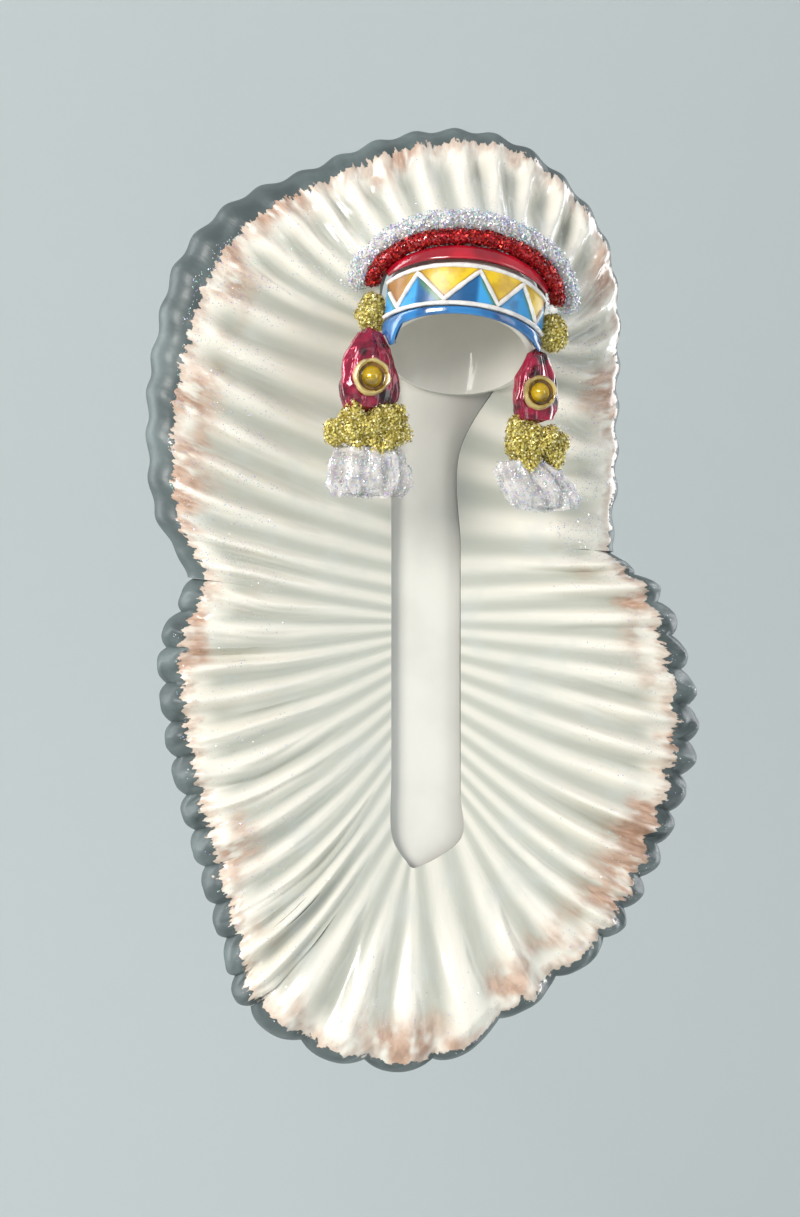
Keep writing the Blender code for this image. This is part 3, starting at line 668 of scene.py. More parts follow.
# %% [markdown]
# ## Roots and tips
# The crown feathers start on a tilted ring round the cap, and the others on the strip. The ring is
# where a slanted plane meets the dome, so its points are found by halving: the plane and the dome
# are compared, and the half in which they cross is kept, until the place is exact.

# %% Roots and tips
def root_ring_point(angle):
    """Where a tilted plane meets a surface just outside the cap."""
    slope = (ROOT_RING_BACK - ROOT_RING_FRONT) / (CAP_HALF_DEPTH + ROOT_STAND_OFF - ROOT_RING_FRONT_DEPTH)
    across = (CAP_HALF_WIDTH + ROOT_STAND_OFF) * math.sin(angle)
    ahead = -(CAP_HALF_DEPTH + ROOT_STAND_OFF) * math.cos(angle)

    def plane_height(share):
        return ROOT_RING_FRONT + slope * (ahead * share - ROOT_RING_FRONT_DEPTH)

    if plane_height(1.0) < DOME_BASE:
        return HEAD @ Vector((across, ahead, plane_height(1.0)))
    low, high = 0.0, 1.0
    for halving in range(40):
        share = (low + high) / 2.0
        dome = DOME_BASE + (DOME_RISE + ROOT_STAND_OFF) * math.sqrt(1.0 - share * share)
        if dome > plane_height(share):
            low = share
        else:
            high = share
    return HEAD @ Vector((across * share, ahead * share, plane_height(share)))


def station_values():
    """Each station as tip x, tip z, root x, root y, root z, bow and black margin."""
    rows = []
    for tip_across, tip_up, carrier, side, where, bow, margin in STATIONS:
        x = tip_across * (RIGHT_REACH if tip_across > 0.0 else LEFT_REACH)
        z = tip_up * (CROWN_RISE if tip_up > 0.0 else TRAILER_DROP)
        root = (
            STRIP_CENTRE + side * (STRIP_WIDTH / 2.0 - ROOT_LAP),
            STRIP_FRONT - ROOT_CLEARANCE,
            ROOTS_TOP + where * (ROOTS_BOTTOM - ROOTS_TOP),
        )
        if carrier == "cap":
            root = root_ring_point(math.radians(where))
        rows.append((x, z, *root, bow, margin))
    return np.array(rows)


VALUES = station_values()
print("tips reach from", VALUES[:, 0].min().round(4), "to", VALUES[:, 0].max().round(4), "m")

# %% [markdown]
# ## Where a feather's points lie
# Each feather leaves its root, bows outwards and rolls back at its tip, because the mould has to
# open. A bent line is enough for that: a curve with one control point from the root, then an arc.
# Between two stations, a smooth curve through four of them blends the values, as a spline does.

# %% Points on the ruff
ROLL_STARTS_AT = 4.0 / 7.0


def at_station(station):
    """Smooth values between the stations, which close in a ring."""
    count = len(VALUES)
    first = math.floor(station)
    t = station - first
    before, here, after, beyond = (VALUES[(first + step) % count] for step in (-1, 0, 1, 2))
    return 0.5 * (
        2.0 * here
        + (after - before) * t
        + (2.0 * before - 5.0 * here + 4.0 * after - beyond) * t * t
        + (3.0 * here - before - 3.0 * after + beyond) * t * t * t
    )


def feather_line(station, notch, along):
    """A point on the ruff's smooth front, and its distance inside the white paint's edge in mm."""
    tip_x, tip_z, root_x, root_y, root_z, bow, margin = at_station(station)
    root, tip = Vector((root_x, root_z)), Vector((tip_x, tip_z))
    line = tip - root
    bend = root + line * 0.5 + Vector((-line.y, line.x)) * (2.0 * bow)
    heading = (tip - bend).normalized()
    tip = tip - heading * notch
    start = tip - heading * ROLL_RADIUS * math.sin(ROLL_TURN)
    if along <= ROLL_STARTS_AT:
        t = along / ROLL_STARTS_AT
        flat = root * (1.0 - t) ** 2 + bend * 2.0 * t * (1.0 - t) + start * t * t
        depth = root_y + (RUFF_FRONT - root_y) * math.sin(t * math.pi / 2.0)
    else:
        turn = ROLL_TURN * (along - ROLL_STARTS_AT) / (1.0 - ROLL_STARTS_AT)
        flat = start + heading * ROLL_RADIUS * math.sin(turn)
        depth = RUFF_FRONT + ROLL_RADIUS * (1.0 - math.cos(turn))
    inside = ((tip - flat).length + 0.35 * notch) / MM - margin
    return Vector((flat.x, depth, flat.y)), inside


def run_boundaries(first, last, count):
    """Stations that part a run into feathers of the same width at their tips."""
    stations = np.linspace(first, last, 400)
    tips = np.array([at_station(station)[:2] for station in stations])
    steps = np.linalg.norm(np.diff(tips, axis=0), axis=1)
    lengths = np.concatenate([[0.0], np.cumsum(steps)])
    return np.interp(np.linspace(0.0, lengths[-1], count + 1), lengths, stations)


print("tip of the first crown feather", tuple(round(v, 4) for v in feather_line(7.5, 0.0, 1.0)[0]))

# %% [markdown]
# ## One piece of the ruff
# On the real one, each feather has a rounded crest, a few soft folds and fine barbs pressed into
# the glass. Sculpting them by hand would take days, so a flat grid is laid on the ruff point by
# point: the crest is a cosine across each feather, and noise that is stretched along it makes the
# folds. The grid keeps its order, so it carries the UV map for the paint. Narrow feathers get
# shallower folds, as in a mould, so their walls don't meet.

# %% A piece of the ruff
RIDGE_RISE = 1.8 * MM
CREST_SHARPNESS = 1.9
WIDE_FOLD = 1.6
FINE_FOLD = 0.35
RIPPLE = 0.45
LEAST_RIM_RELIEF = 0.06
FULL_WIDTH = 4.6 * MM
CELLS_ACROSS = 18
CELLS_ALONG = 56
ROW_CROWDING = 0.8


def fold(across, along):
    """Soft folds along a feather and finer barbs across them, in metres."""
    drift = 0.6 * noise.noise(Vector((across * 0.7, along * 2.5, 2.7)))
    wide = noise.noise(Vector(((across + drift) * 2.3, along * 1.3, 4.4)))
    fine = noise.noise(Vector(((across + drift) * 7.0, along * 3.0, 9.3)))
    ripple = noise.noise(Vector((across * 2.0, along * 8.0, 21.6)))
    return (WIDE_FOLD * wide + FINE_FOLD * fine + RIPPLE * ripple) * MM


def add_feathers(name, first, last, count, notch, before):
    """Some feathers side by side, from one station to another, with notches between their tips."""
    mesh = bmesh.new()
    bmesh.ops.create_grid(mesh, x_segments=CELLS_ACROSS * count, y_segments=CELLS_ALONG, size=1.0)
    layer = mesh.loops.layers.uv.new("feather")
    marks, widths = {}, {}
    for vertex in mesh.verts:
        across = (vertex.co.x + 1.0) / 2.0 * count
        along = ((vertex.co.y + 1.0) / 2.0) ** ROW_CROWDING
        row = round(along, 5)
        if row not in widths:
            span = feather_line(last, 0.0, along)[0] - feather_line(first, 0.0, along)[0]
            widths[row] = min(1.0, span.length / count / FULL_WIDTH)
        station = first + (last - first) * across / count
        swing = abs(2.0 * (across - math.floor(min(across, count - 0.001))) - 1.0)
        dip = swing**NOTCH_SHARPNESS
        if notch == CROWN_NOTCH:
            dip = 0.5 - 0.5 * math.cos(math.pi * swing)
        point, inside = feather_line(station, notch * dip, along)
        rise = math.sin(min(1.0, along / ROLL_STARTS_AT) * math.pi / 2.0) ** 2
        fade = 1.0 - TIP_FLATNESS * max(0.0, along - ROLL_STARTS_AT) / (1.0 - ROLL_STARTS_AT)
        if notch == CROWN_NOTCH:
            fade = min(1.0, max(LEAST_RIM_RELIEF, (inside + 1.0) / 6.0))
        number = math.floor(min(across, count - 0.001)) + before
        height_share = 0.85 + 0.5 * noise.noise(Vector((number * 1.7, 0.3, 7.1)))
        crest = RIDGE_RISE * height_share * (0.5 + 0.5 * math.cos(math.pi * swing)) ** CREST_SHARPNESS
        folds = widths[row] * fold(before + across, along)
        point.y -= rise * fade * (crest * (0.3 + 0.7 * widths[row]) + folds)
        vertex.co = point
        marks[vertex] = (before + across, inside)
    for face in mesh.faces:
        for loop in face.loops:
            loop[layer].uv = marks[loop.vert]
    coats = [MATERIALS["feather"], MATERIALS["back"]]
    return thicken(piece_from(mesh, name + "_painted", name, coats, 80.0, True), FEATHER_WALL, back=1)


print("cells in a crown feather", CELLS_ACROSS * CELLS_ALONG)

# %% [markdown]
# ## All the feathers
# Each crown feather is a piece of its own, and the trailer's are in pieces of two, which keeps the
# list of pieces short. A run is parted so that its tips are equally wide, because equal steps of
# the stations would give broad feathers beside narrow ones. The back and the rim keep the black
# lacquer of the first coat.

# %% Build the feathers
feather_pieces = []
feathers_made = 0
for run_name, run_first, run_last, run_count, run_share, run_notch in RUNS:
    edges = run_boundaries(run_first, run_last, run_count)
    for index in range(run_count // run_share):
        label = run_name if run_share == run_count else "%s_%02d" % (run_name, index + 1)
        start, stop = edges[index * run_share], edges[(index + 1) * run_share]
        piece = add_feathers(label, start, stop, run_share, run_notch, feathers_made)
        feather_pieces.append((label, piece))
        feathers_made += run_share
print("feather pieces", len(feather_pieces))

# %% [markdown]
# ## Arches round the forehead
# On a real bonnet, a beaded band is tied round the forehead, under a roll of down that hides where
# the feathers start. Here they are moulded bands that follow arches from temple to temple. They
# could be bent by a Curve modifier, but an arch is one cosine, so each point is worked out. The
# head is turned and leaned inside the ring of feathers, so points are made in the head's own
# directions and then turned.

# %% Arches
BAND_SWEEP = math.radians(66.0)
BAND_WALL = 1.0 * MM
TONGUE_DROP = 2.3 * MM
TONGUE_ANGLE = math.radians(-56.6)
TONGUE_HALF_ANGLE = math.radians(9.4)
BAND_HALF_WIDTH = 12.4 * MM
BAND_REACH = 13.2 * MM
# Each arch: half its width, its reach ahead, its height in front and at the temples, and its depth
# at the temples
EDGE_LOW = (BAND_HALF_WIDTH, BAND_REACH, 0.0, -6.2 * MM, 0.0)
EDGE_HIGH = (BAND_HALF_WIDTH, BAND_REACH, 1.1 * MM, -3.3 * MM, 0.0)
BROW_LOW = (BAND_HALF_WIDTH, BAND_REACH, 1.4 * MM, -3.0 * MM, 0.0)
BROW_HIGH = (BAND_HALF_WIDTH, 12.5 * MM, 7.2 * MM, 1.9 * MM, 0.0)
RED_LOW = (BAND_HALF_WIDTH, 12.35 * MM, 8.0 * MM, 2.7 * MM, 0.0)
RED_HIGH = (12.9 * MM, 11.0 * MM, 10.0 * MM, 3.2 * MM, 0.0)
CORD_ARCH = (13.5 * MM, 10.3 * MM, 11.3 * MM, 3.9 * MM, -1.6 * MM)
ROLL_ARCH = (15.4 * MM, 7.5 * MM, 13.8 * MM, 3.5 * MM, 1.5 * MM)
CORD_RADIUS = 0.95 * MM
ROLL_TUBE_RADIUS = 1.4 * MM


def arch_point(angle, half_width, reach, front, temple, temple_depth):
    """On an arch round the forehead: angle 0 is its front."""
    share = math.cos(angle)
    depth = temple_depth - (reach + temple_depth) * share
    return HEAD @ Vector((half_width * math.sin(angle), depth, temple + (front - temple) * share))


def outwards_at(angle):
    """The direction straight out of the forehead."""
    return HEAD.to_3x3() @ Vector((math.sin(angle), -math.cos(angle), 0.0))


print("brow band height", round((BROW_HIGH[2] - BROW_LOW[2]) / MM, 1), "mm at its front")

# %% [markdown]
# ## Bands
# A band is a grid between two arches, with a slightly domed front, because lacquer and glass are
# never flat. A box could be bent to the same shape, but a grid keeps its rows, and they give the
# UV map that the painted triangles follow. The blue band ends in a small tongue on the left.

# %% Bands
# Where the zigzag turns: the band's angle in degrees. It starts at the top.
ZIG_TURNS = [-66.0, -52.0, -37.0, -17.0, 5.0, 19.0, 37.0, 53.0, 66.0]
BAND_UNEVENNESS = 0.10 * MM


def add_band(node, low, high, material, crown, tongue=0.0):
    """A band with a slightly domed front between two arches, and maybe a tongue at its left end."""
    mesh = bmesh.new()
    bmesh.ops.create_grid(mesh, x_segments=150, y_segments=20, size=1.0)
    layer = mesh.loops.layers.uv.new("band")
    marks = {}
    for vertex in mesh.verts:
        angle, share = vertex.co.x * BAND_SWEEP, (vertex.co.y + 1.0) / 2.0
        zig = float(np.interp(math.degrees(angle), ZIG_TURNS, range(-1, len(ZIG_TURNS) - 1)))
        edge = arch_point(angle, *low)
        nearness = max(0.0, 1.0 - abs(angle - TONGUE_ANGLE) / TONGUE_HALF_ANGLE)
        edge.z -= tongue * (0.5 - 0.5 * math.cos(math.pi * nearness))
        place_here = edge.lerp(arch_point(angle, *high), share)
        swell = crown * (1.0 - (2.0 * share - 1.0) ** 4)
        wave = BAND_UNEVENNESS * noise.noise(place_here * 260.0)
        vertex.co = place_here + outwards_at(angle) * (swell + wave)
        marks[vertex] = (zig + 1.0, share)
    for face in mesh.faces:
        for loop in face.loops:
            loop[layer].uv = marks[loop.vert]
    return thicken(piece_from(mesh, node + "_lacquered", node, [material]), BAND_WALL)


bands = [
    add_band("brow_band", BROW_LOW, BROW_HIGH, MATERIALS["brow"], 0.15 * MM),
    add_band("blue_edge_band", EDGE_LOW, EDGE_HIGH, MATERIALS["blue"], 0.25 * MM, TONGUE_DROP),
    add_band("red_band", RED_LOW, RED_HIGH, MATERIALS["red"], 0.25 * MM),
]
print("bands", len(bands), "of", len(bands[0].data.polygons), "faces")

# %% [markdown]
# ## Enamel lines
# The white lines are drawn with enamel from a nozzle, which leaves a raised bead. So each line is a
# curve with a round bevel and not a stripe of paint, and it throws a small shadow and a glint. Its
# thickness wanders a little, because nobody presses a nozzle evenly.

# %% Enamel lines
def add_line(name, node, points, radius, material):
    """A round bead of enamel drawn through the points."""
    data = bpy.data.curves.new(name, "CURVE")
    data.dimensions = "3D"
    data.bevel_depth = radius
    data.bevel_resolution = 4
    data.use_fill_caps = True
    spline = data.splines.new("POLY")
    spline.points.add(len(points) - 1)
    for index, point in enumerate(points):
        spline.points[index].co = (*point, 1.0)
        spline.points[index].radius = 1.0 + 0.22 * noise.noise(point * 900.0)
    data.materials.append(material)
    return place(bpy.data.objects.new(name, data), node)


def band_place(angle, share, lift):
    """A point on the brow band, by its share of the band's height."""
    point = arch_point(angle, *BROW_LOW).lerp(arch_point(angle, *BROW_HIGH), share)
    return point + outwards_at(angle) * lift


LINE_RADIUS = 0.34 * MM
LINE_LIFT = 0.12 * MM
ZIGZAG_LIFT = 0.18 * MM
ZIGZAG_STEPS = 12
ZIGZAG_TRIM = 4
angles = np.linspace(-BAND_SWEEP, BAND_SWEEP, 90)
for line_name, share in (("lower", 0.03), ("upper", 0.97)):
    points = [band_place(angle, share, LINE_LIFT) for angle in angles]
    add_line("enamel_line_" + line_name, "brow_band", points, LINE_RADIUS, MATERIALS["white line"])
zigzag = []
for index in range(len(ZIG_TURNS) - 1):
    for step in range(ZIGZAG_STEPS):
        turns = index + step / ZIGZAG_STEPS
        angle = math.radians(float(np.interp(turns, range(len(ZIG_TURNS)), ZIG_TURNS)))
        height = ZIG_HIGH - (ZIG_HIGH - ZIG_LOW) * (1.0 - abs(turns % 2.0 - 1.0))
        zigzag.append(band_place(angle, height, ZIGZAG_LIFT))
zigzag = zigzag[ZIGZAG_TRIM:-ZIGZAG_TRIM]
add_line("enamel_zigzag", "brow_band", zigzag, LINE_RADIUS, MATERIALS["white line"])
print("points in the zigzag", len(zigzag))

# %% [markdown]
# ## Red cord and white roll
# Glitter is shaken onto two beads of glue that run from temple to temple: a thin red one and a
# thick white one that stands for the roll of down. A bevelled curve would be too smooth, so a
# grid is wrapped round the arch as a tube, with lumps of noise and ends that close like a drop.

# %% Cord and roll
TUBE_SIDES = 28
TUBE_STEPS = 220
ARCH_RADIUS = 13.0 * MM
LUMPS_PER_METRE = 900.0


def add_tube(node, arch, radius, material, lumps):
    """A cord on an arch from temple to temple, with an uneven surface and rounded ends."""
    mesh = bmesh.new()
    bmesh.ops.create_grid(mesh, x_segments=TUBE_STEPS, y_segments=TUBE_SIDES, size=1.0)
    for vertex in mesh.verts:
        angle = vertex.co.x * math.pi / 2.0
        around = vertex.co.y * math.pi
        middle = arch_point(angle, *arch)
        ahead = (arch_point(angle + 0.01, *arch) - arch_point(angle - 0.01, *arch)).normalized()
        up = (HEAD.to_3x3() @ Vector((0.0, 0.0, 1.0))).cross(ahead).normalized()
        side = ahead.cross(up)
        end = min(1.0, (1.0 - abs(vertex.co.x)) * math.pi / 2.0 * ARCH_RADIUS / radius)
        girth = radius * math.sqrt(max(1.0 - (1.0 - end) ** 2, 0.0001))
        outward = up * math.cos(around) + side * math.sin(around)
        rough = lumps * noise.noise((middle + outward * radius) * LUMPS_PER_METRE)
        vertex.co = middle + outward * (girth + rough)
    bmesh.ops.remove_doubles(mesh, verts=mesh.verts, dist=0.0005 * MM)
    bmesh.ops.holes_fill(mesh, edges=mesh.edges, sides=0)
    bmesh.ops.recalc_face_normals(mesh, faces=mesh.faces)
    return piece_from(mesh, node + "_core", node, [material])


cord = add_tube("red_glitter_cord", CORD_ARCH, CORD_RADIUS, MATERIALS["red"], 0.25 * MM)
roll = add_tube("white_glitter_roll", ROLL_ARCH, ROLL_TUBE_RADIUS, MATERIALS["fur"], 0.45 * MM)
add_flakes(cord, "red_glitter_cord", MATERIALS["red flakes"], *GLITTER["cord"], 1)
add_flakes(roll, "white_glitter_roll", MATERIALS["white flakes"], *GLITTER["roll"], 2)
print("faces in the roll", len(roll.data.polygons))

# %% [markdown]
# ## Rounded bodies
# At each side hang a cloth drape, a tuft and a strip of ermine. In glass they are soft
# swellings with moulded folds. Metaballs or sculpting could make them, but a ball with many faces
# is easier to steer: a table sets how high, wide and deep each ring of it is and how far it
# is shifted, all as shares, and noise gives the folds, the strands and the ragged lower edge.

# %% Tables of rings
BALL_ROWS = [
    (1.0, 0.0, 0.0, 0.0),
    (0.92, 0.38, 0.38, 0.0),
    (0.71, 0.71, 0.71, 0.0),
    (0.38, 0.92, 0.92, 0.0),
    (0.0, 1.0, 1.0, 0.0),
    (-0.38, 0.92, 0.92, 0.0),
    (-0.71, 0.71, 0.71, 0.0),
    (-0.92, 0.38, 0.38, 0.0),
    (-1.0, 0.0, 0.0, 0.0),
]
DRAPE_ROWS = [
    (1.16, 0.0, 0.0, 0.05),
    (1.0, 0.40, 0.50, 0.05),
    (0.58, 0.72, 0.84, 0.03),
    (0.28, 0.90, 0.97, 0.0),
    (-0.05, 0.97, 1.0, 0.0),
    (-0.38, 1.0, 1.0, 0.0),
    (-0.72, 0.95, 0.92, 0.0),
    (-1.0, 0.80, 0.75, 0.0),
    (-1.12, 0.0, 0.0, 0.0),
]
TUFT_ROWS = [
    (1.0, 0.0, 0.0, 0.0),
    (0.95, 0.66, 0.65, 0.0),
    (0.62, 0.93, 0.95, 0.0),
    (0.05, 1.0, 1.08, 0.0),
    (-0.60, 0.98, 1.05, 0.0),
    (-1.0, 0.78, 0.85, 0.0),
    (-1.15, 0.0, 0.0, 0.0),
]
FUR_ROWS = [
    (1.12, 0.0, 0.0, 0.0),
    (1.02, 0.72, 0.70, 0.0),
    (0.62, 0.92, 0.92, 0.0),
    (0.0, 1.0, 1.0, 0.0),
    (-0.62, 1.02, 0.92, 0.0),
    (-0.93, 0.86, 0.66, 0.0),
    (-1.0, 0.0, 0.0, 0.0),
]
print("rings in a drape", len(DRAPE_ROWS))

# %% [markdown]
# ## Folds, strands and lumps
# Folds of cloth run upright, so their noise is read on a circle round the body and hardly changes
# with height. Strands are the same at a finer scale, and lumps are even in all directions. Each
# body reads the noise at its own place, so the left and the right come out different. Blender
# gives a new ball's faces in a different order in each run, and glitter is drawn from them by
# number, so they are sorted by the numbers of their corners first.

# %% A rounded body
FOLDS_ROUND = 3.5
STRANDS_ROUND = 11.0
RAGGED_PER_METRE = 420.0
ROUND_LUMPS_PER_METRE = 650.0
LOBE_DEPTH = 0.06


def add_lump(node, middle, sizes, rows, lobes, material, folds, lumps, flare=0.0, hairs=0.0, ragged=0.0):
    """A rounded body of the given half sizes, with folds, lumps and strands in metres."""
    mesh = bmesh.new()
    bmesh.ops.create_uvsphere(mesh, u_segments=160, v_segments=80, radius=1.0)
    mesh.verts.index_update()
    count = len(mesh.verts)
    powers = (count * count, count, 1)
    mesh.faces.sort(key=lambda face: sum(v.index * power for v, power in zip(face.verts, powers)))
    levels = np.linspace(0.0, 1.0, len(rows))
    table = np.array(rows)
    for vertex in mesh.verts:
        x, y, z = vertex.co
        ring = max(math.hypot(x, y), 1e-9)
        level = math.acos(max(-1.0, min(1.0, z))) / math.pi
        height, wide, deep, shift = (np.interp(level, levels, column) for column in table.T)
        shift = shift if flare == 0.0 else -flare * height
        around = math.atan2(y, x)
        ripple = 1.0 + LOBE_DEPTH * math.cos(lobes * around)
        outward = Vector((x / ring, y / ring, 0.0))
        round_x, round_y = math.cos(around), math.sin(around)
        own_place = Vector((round_x * FOLDS_ROUND, round_y * FOLDS_ROUND, middle[0] * 500.0 + z))
        crease = noise.noise(own_place)
        point = Vector((
            middle[0] + sizes[0] * (shift + wide * ripple * x / ring),
            middle[1] + sizes[1] * deep * y / ring,
            middle[2] + sizes[2] * height,
        ))
        rough = lumps * noise.noise(point * ROUND_LUMPS_PER_METRE)
        strand = noise.noise(Vector((round_x * STRANDS_ROUND, round_y * STRANDS_ROUND, z * 2.6)))
        point.z -= 3.0 * hairs * abs(strand) * max(0.0, -height) ** 2
        rough += hairs * strand
        own_place = Vector((point.x * RAGGED_PER_METRE, 0.0, height * 0.8 + middle[0] * 700.0))
        point.z += ragged * noise.noise(own_place) * abs(height)
        vertex.co = point + outward * (folds * crease * min(1.0, wide * 1.2)) + Vector((x, y, z)) * rough
    return piece_from(mesh, node + "_body", node, [material])


print("lumps are about", round(1.0 / ROUND_LUMPS_PER_METRE / MM, 1), "mm wide")

# %% [markdown]
# ## Bosses
# A concho is a round metal boss, here moulded with the glass and painted: a gold dome in a dark
# groove, inside a cream ring. Anything round is quickest as half a profile that is spun round its
# axis. The ring is then made a little uneven, because it was painted with a brush.

# %% A turned boss
BOSS_WALL = 0.9 * MM
DOME_HEIGHT = 1.0 * MM
DOME_EDGE = 0.54
RING_START = 0.76
SPIN_STEPS = 80
RING_TURNS = 2.2
# The groove, the ring and the flat back: shares of the radius and of the wall
RING_PROFILE = [
    (0.56, 0.72),
    (0.66, 0.70),
    (0.74, 0.9),
    (0.80, 1.32),
    (0.88, 1.42),
    (0.95, 1.1),
    (1.0, 0.6),
    (1.0, 0.15),
    (0.96, 0.0),
    (0.001, 0.0),
]


def add_concho(node, middle, radius):
    """A ribbed pale ring round a gold dome, turned with a spin about its own axis."""
    profile = []
    for t in np.linspace(0.0, 0.98, 14):
        bulge = math.cos(t * math.pi / 2.0) ** 0.8
        profile.append((0.001 + 0.52 * t, BOSS_WALL + DOME_HEIGHT * bulge))
    profile += [(share, BOSS_WALL * rise) for share, rise in RING_PROFILE]
    mesh = bmesh.new()
    points = [mesh.verts.new((share * radius, 0.0, height)) for share, height in profile]
    for start, end in zip(points, points[1:]):
        mesh.edges.new((start, end))
    bmesh.ops.spin(
        mesh,
        geom=mesh.verts[:] + mesh.edges[:],
        cent=(0.0, 0.0, 0.0),
        axis=(0.0, 0.0, 1.0),
        angle=math.tau,
        steps=SPIN_STEPS,
        use_merge=True,
    )
    bmesh.ops.remove_doubles(mesh, verts=mesh.verts, dist=0.001 * MM)
    for vertex in mesh.verts:
        share = vertex.co.xy.length / radius
        if share > 0.62:
            around = math.atan2(vertex.co.y, vertex.co.x)
            turned_x, turned_y = math.cos(around) * RING_TURNS, math.sin(around) * RING_TURNS
            uneven = noise.noise(Vector((turned_x, turned_y, middle[0] * 900.0)))
            vertex.co.z += 0.22 * MM * uneven * min(1.0, vertex.co.z / BOSS_WALL)
            vertex.co.xy *= 1.0 + 0.09 * uneven * min(1.0, (share - 0.62) / 0.2)
    bmesh.ops.recalc_face_normals(mesh, faces=mesh.faces)
    for face in mesh.faces:
        share = face.calc_center_median().xy.length / radius
        face.material_index = 0 if share < DOME_EDGE else 1 if share < RING_START else 2
    mesh.transform(Matrix.Translation(middle) @ Matrix.Rotation(math.radians(90.0), 4, "X"))
    return piece_from(mesh, node + "_turned", node, [MATERIALS[use] for use in ("gold", "groove", "cream")])


print("points in the profile, spun", SPIN_STEPS, "times")

# %% [markdown]
# ## What hangs at each side
# From the temple down come the magenta drape with its boss, the gold tuft and the white fur drop.
# They touch on the real one. Here each is a body of its own, stacked downwards with a small gap
# that the glitter hides, so that each can be given its own folds and finish.

# %% Build what hangs at each side
DROP_HALF_DEPTH = 2.0 * MM
FIT_GAP = 0.3 * MM
# In millimetres: the place across and ahead, the top, half the drape's width and its length, the
# boss's radius, half the tuft's width and its length, the same for the fur, and the fur's flare
DROPS = {
    "left": (-14.7, -3.0, -2.1, 4.2, 10.8, 2.75, 5.6, 5.2, 5.8, 6.6, 0.0),
    "right": (9.6, -5.6, -4.9, 3.4, 9.6, 2.5, 4.1, 5.6, 5.4, 6.4, 0.35),
}
for seed, (side, values) in enumerate(DROPS.items()):
    *values, flare = values
    x, y, top, drape_half, drape_long, boss, tuft_half, tuft_long, fur_half, fur_long = (
        value * MM for value in values
    )
    add_lump(
        "side_drape_" + side,
        (x, y, top - drape_long / 2.0),
        (drape_half, DROP_HALF_DEPTH, drape_long / 2.0),
        DRAPE_ROWS,
        3,
        MATERIALS["magenta"],
        0.55 * MM,
        0.20 * MM,
    )
    add_concho("concho_" + side, (x, y - DROP_HALF_DEPTH - FIT_GAP, top - 0.6 * drape_long), boss)
    top -= drape_long + FIT_GAP
    tuft = add_lump(
        "drop_tuft_" + side,
        (x, y, top - tuft_long / 2.0),
        (tuft_half, DROP_HALF_DEPTH, tuft_long / 2.0),
        TUFT_ROWS,
        4,
        MATERIALS["tuft"],
        0.9 * MM,
        0.8 * MM,
        ragged=2.6 * MM,
    )
    add_flakes(tuft, "drop_tuft_" + side, MATERIALS["gold flakes"], *GLITTER["drop tuft"], 10 + seed)
    top -= tuft_long + FIT_GAP
    fur = add_lump(
        "ermine_drop_" + side,
        (x, y, top - fur_long / 2.0),
        (fur_half, DROP_HALF_DEPTH, fur_long / 2.0),
        FUR_ROWS,
        5,
        MATERIALS["fur"],
        0.75 * MM,
        0.35 * MM,
        flare,
        0.26 * MM,
    )
    add_flakes(fur, "ermine_drop_" + side, MATERIALS["white flakes"], *GLITTER["fur drop"], 20 + seed)
print("drops", len(DROPS))

# %% [markdown]
# ## Temple tufts
# Where the band ends at each temple, a dab of glue with gold glitter covers the join. It is the
# same rounded body, as a small ball.

# %% Build the temple tufts
TEMPLE_ACROSS, TEMPLE_AHEAD, TEMPLE_UP = 13.2 * MM, -3.0 * MM, -0.45 * MM
for seed, (side, sign) in enumerate((("left", -1.0), ("right", 1.0))):
    node = "temple_tuft_" + side
    middle = HEAD @ Vector((sign * TEMPLE_ACROSS, TEMPLE_AHEAD, TEMPLE_UP))
    half_sizes = (1.9 * MM, 1.6 * MM, 2.6 * MM)
    tuft = add_lump(node, middle, half_sizes, BALL_ROWS, 5, MATERIALS["tuft"], 0.3 * MM, 0.5 * MM)
    add_flakes(tuft, node, MATERIALS["gold flakes"], *GLITTER["temple tuft"], 30 + seed)
print("the last tuft is at", tuple(round(value, 4) for value in middle))

# %% [markdown]
# ## Cap
# A real bonnet hangs from a soft cap that goes over the head. Here it is a thin dome of silvered
# glass. A ball already has the dome, so its lower half is pulled down into a straight skirt and
# the rim is cut at a slant, lower behind than in front. It is hidden from the front and stays plain.

# %% Build the cap
CAP_WALL = 1.0 * MM
SPARE_SKIRT = 4.0 * MM
CAP_SOFTNESS = 0.25 * MM


def soften(item, width):
    """Rounds the edges of a wall a little, as melted glass does."""
    bevel = item.modifiers.new("soft edge", "BEVEL")
    bevel.width = width
    bevel.segments = 3
    return item


cap = bmesh.new()
bmesh.ops.create_uvsphere(cap, u_segments=88, v_segments=48, radius=1.0)
skirt = DOME_BASE - RIM_BACK + SPARE_SKIRT
for vertex in cap.verts:
    x, y, z = vertex.co
    if z >= -0.001:
        height = DOME_BASE + DOME_RISE * z
    else:
        widen = 1.0 / max(math.hypot(x, y), 0.001)
        x, y = x * widen, y * widen
        height = DOME_BASE + skirt * z
    vertex.co = (CAP_HALF_WIDTH * x, CAP_HALF_DEPTH * y, height)
bmesh.ops.bisect_plane(
    cap,
    geom=cap.verts[:] + cap.edges[:] + cap.faces[:],
    plane_co=(0.0, -CAP_HALF_DEPTH, RIM_FRONT),
    plane_no=(0.0, (RIM_BACK - RIM_FRONT) / (2.0 * CAP_HALF_DEPTH), -1.0),
    clear_outer=True,
)
cap.transform(HEAD)
cap_item = piece_from(cap, "skull_cap_glass", "skull_cap", [MATERIALS["plain"]])
soften(thicken(cap_item, CAP_WALL), CAP_SOFTNESS)
print("faces in the cap", len(cap_item.data.polygons))

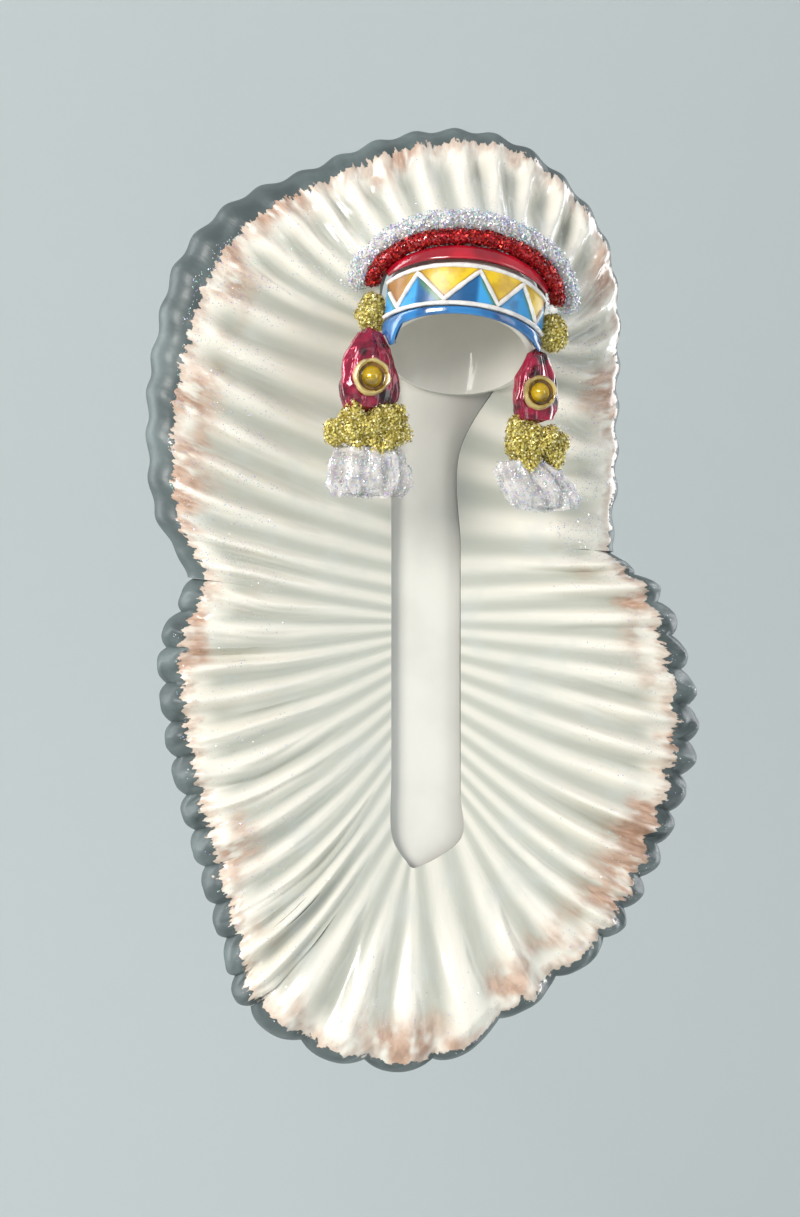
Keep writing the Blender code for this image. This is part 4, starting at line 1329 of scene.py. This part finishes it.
# %% [markdown]
# ## Strip
# The trailer's feathers are laced to a long strip that hangs down the back. It could be a plain
# box, but it widens to a yoke where it meets the cap and its end is narrowed, so a grid is shaped
# row by row and then given a wall.

# %% Build the strip
STRIP_WALL = 1.4 * MM
STRIP_SOFTNESS = 0.35 * MM
SPARE_STRIP = 3.0 * MM
NARROWS_AT = 0.9
END_NARROWING = 0.35

strip = bmesh.new()
bmesh.ops.create_grid(strip, x_segments=24, y_segments=120, size=1.0)
strip_bottom = ROOTS_BOTTOM - SPARE_STRIP
for vertex in strip.verts:
    across, down = vertex.co.x, (1.0 - vertex.co.y) / 2.0
    height = STRIP_TOP + (strip_bottom - STRIP_TOP) * down
    yoke = max(0.0, 1.0 - (STRIP_TOP - height) / STRIP_YOKE_DROP) ** 1.5
    width = STRIP_WIDTH + (STRIP_YOKE_WIDTH - STRIP_WIDTH) * yoke
    end = max(0.0, (down - NARROWS_AT) / (1.0 - NARROWS_AT))
    narrow = 1.0 - END_NARROWING * end ** 2
    x = STRIP_CENTRE * (1.0 - yoke) + across * narrow * width / 2.0
    vertex.co = (x, STRIP_FRONT, height)
strip_item = piece_from(strip, "trailer_backing_glass", "trailer_backing", [MATERIALS["plain"]])
soften(thicken(strip_item, STRIP_WALL), STRIP_SOFTNESS)
print("strip length", round((STRIP_TOP - strip_bottom) / MM, 1), "mm")

# %% [markdown]
# ## Fine glitter on the feathers
# Some of the white glitter that is shaken on the roll always lands on the wet pearl paint. A
# dusting lies over the front of the feathers, and it is thickest beside the roll. The function
# gives each triangle a weight, so flakes lie only where it faces forwards.

# %% Dust the feathers
CROWDING = 40.0
CROWDED_WITHIN = 2.0 * MM
CROWDING_FADES_OVER = 1.8 * MM
roll_points = np.array([arch_point(angle, *ROLL_ARCH) for angle in np.linspace(-1.3, 1.3, 40)])


def front_weight(middles, normals):
    """How likely a triangle is to catch a flake."""
    facing = -normals[:, 1] / np.linalg.norm(normals, axis=1)
    away = np.linalg.norm(middles[:, None, :] - roll_points[None, :, :], axis=2).min(axis=1)
    near_roll = CROWDING * np.exp(-np.maximum(away - CROWDED_WITHIN, 0.0) / CROWDING_FADES_OVER)
    return (facing > 0.3) * (middles[:, 1] < RUFF_FRONT + 0.1 * MM) * (1.0 + near_roll)


for seed, (label, item) in enumerate(feather_pieces):
    use = "crown feather" if label.startswith("crown") else "trailer feather"
    if label == "trailer_end":
        use = "trailer end"
    add_flakes(item, label, MATERIALS["white flakes"], *GLITTER[use], 100 + seed, front_weight)
print("dusted", len(feather_pieces), "pieces")
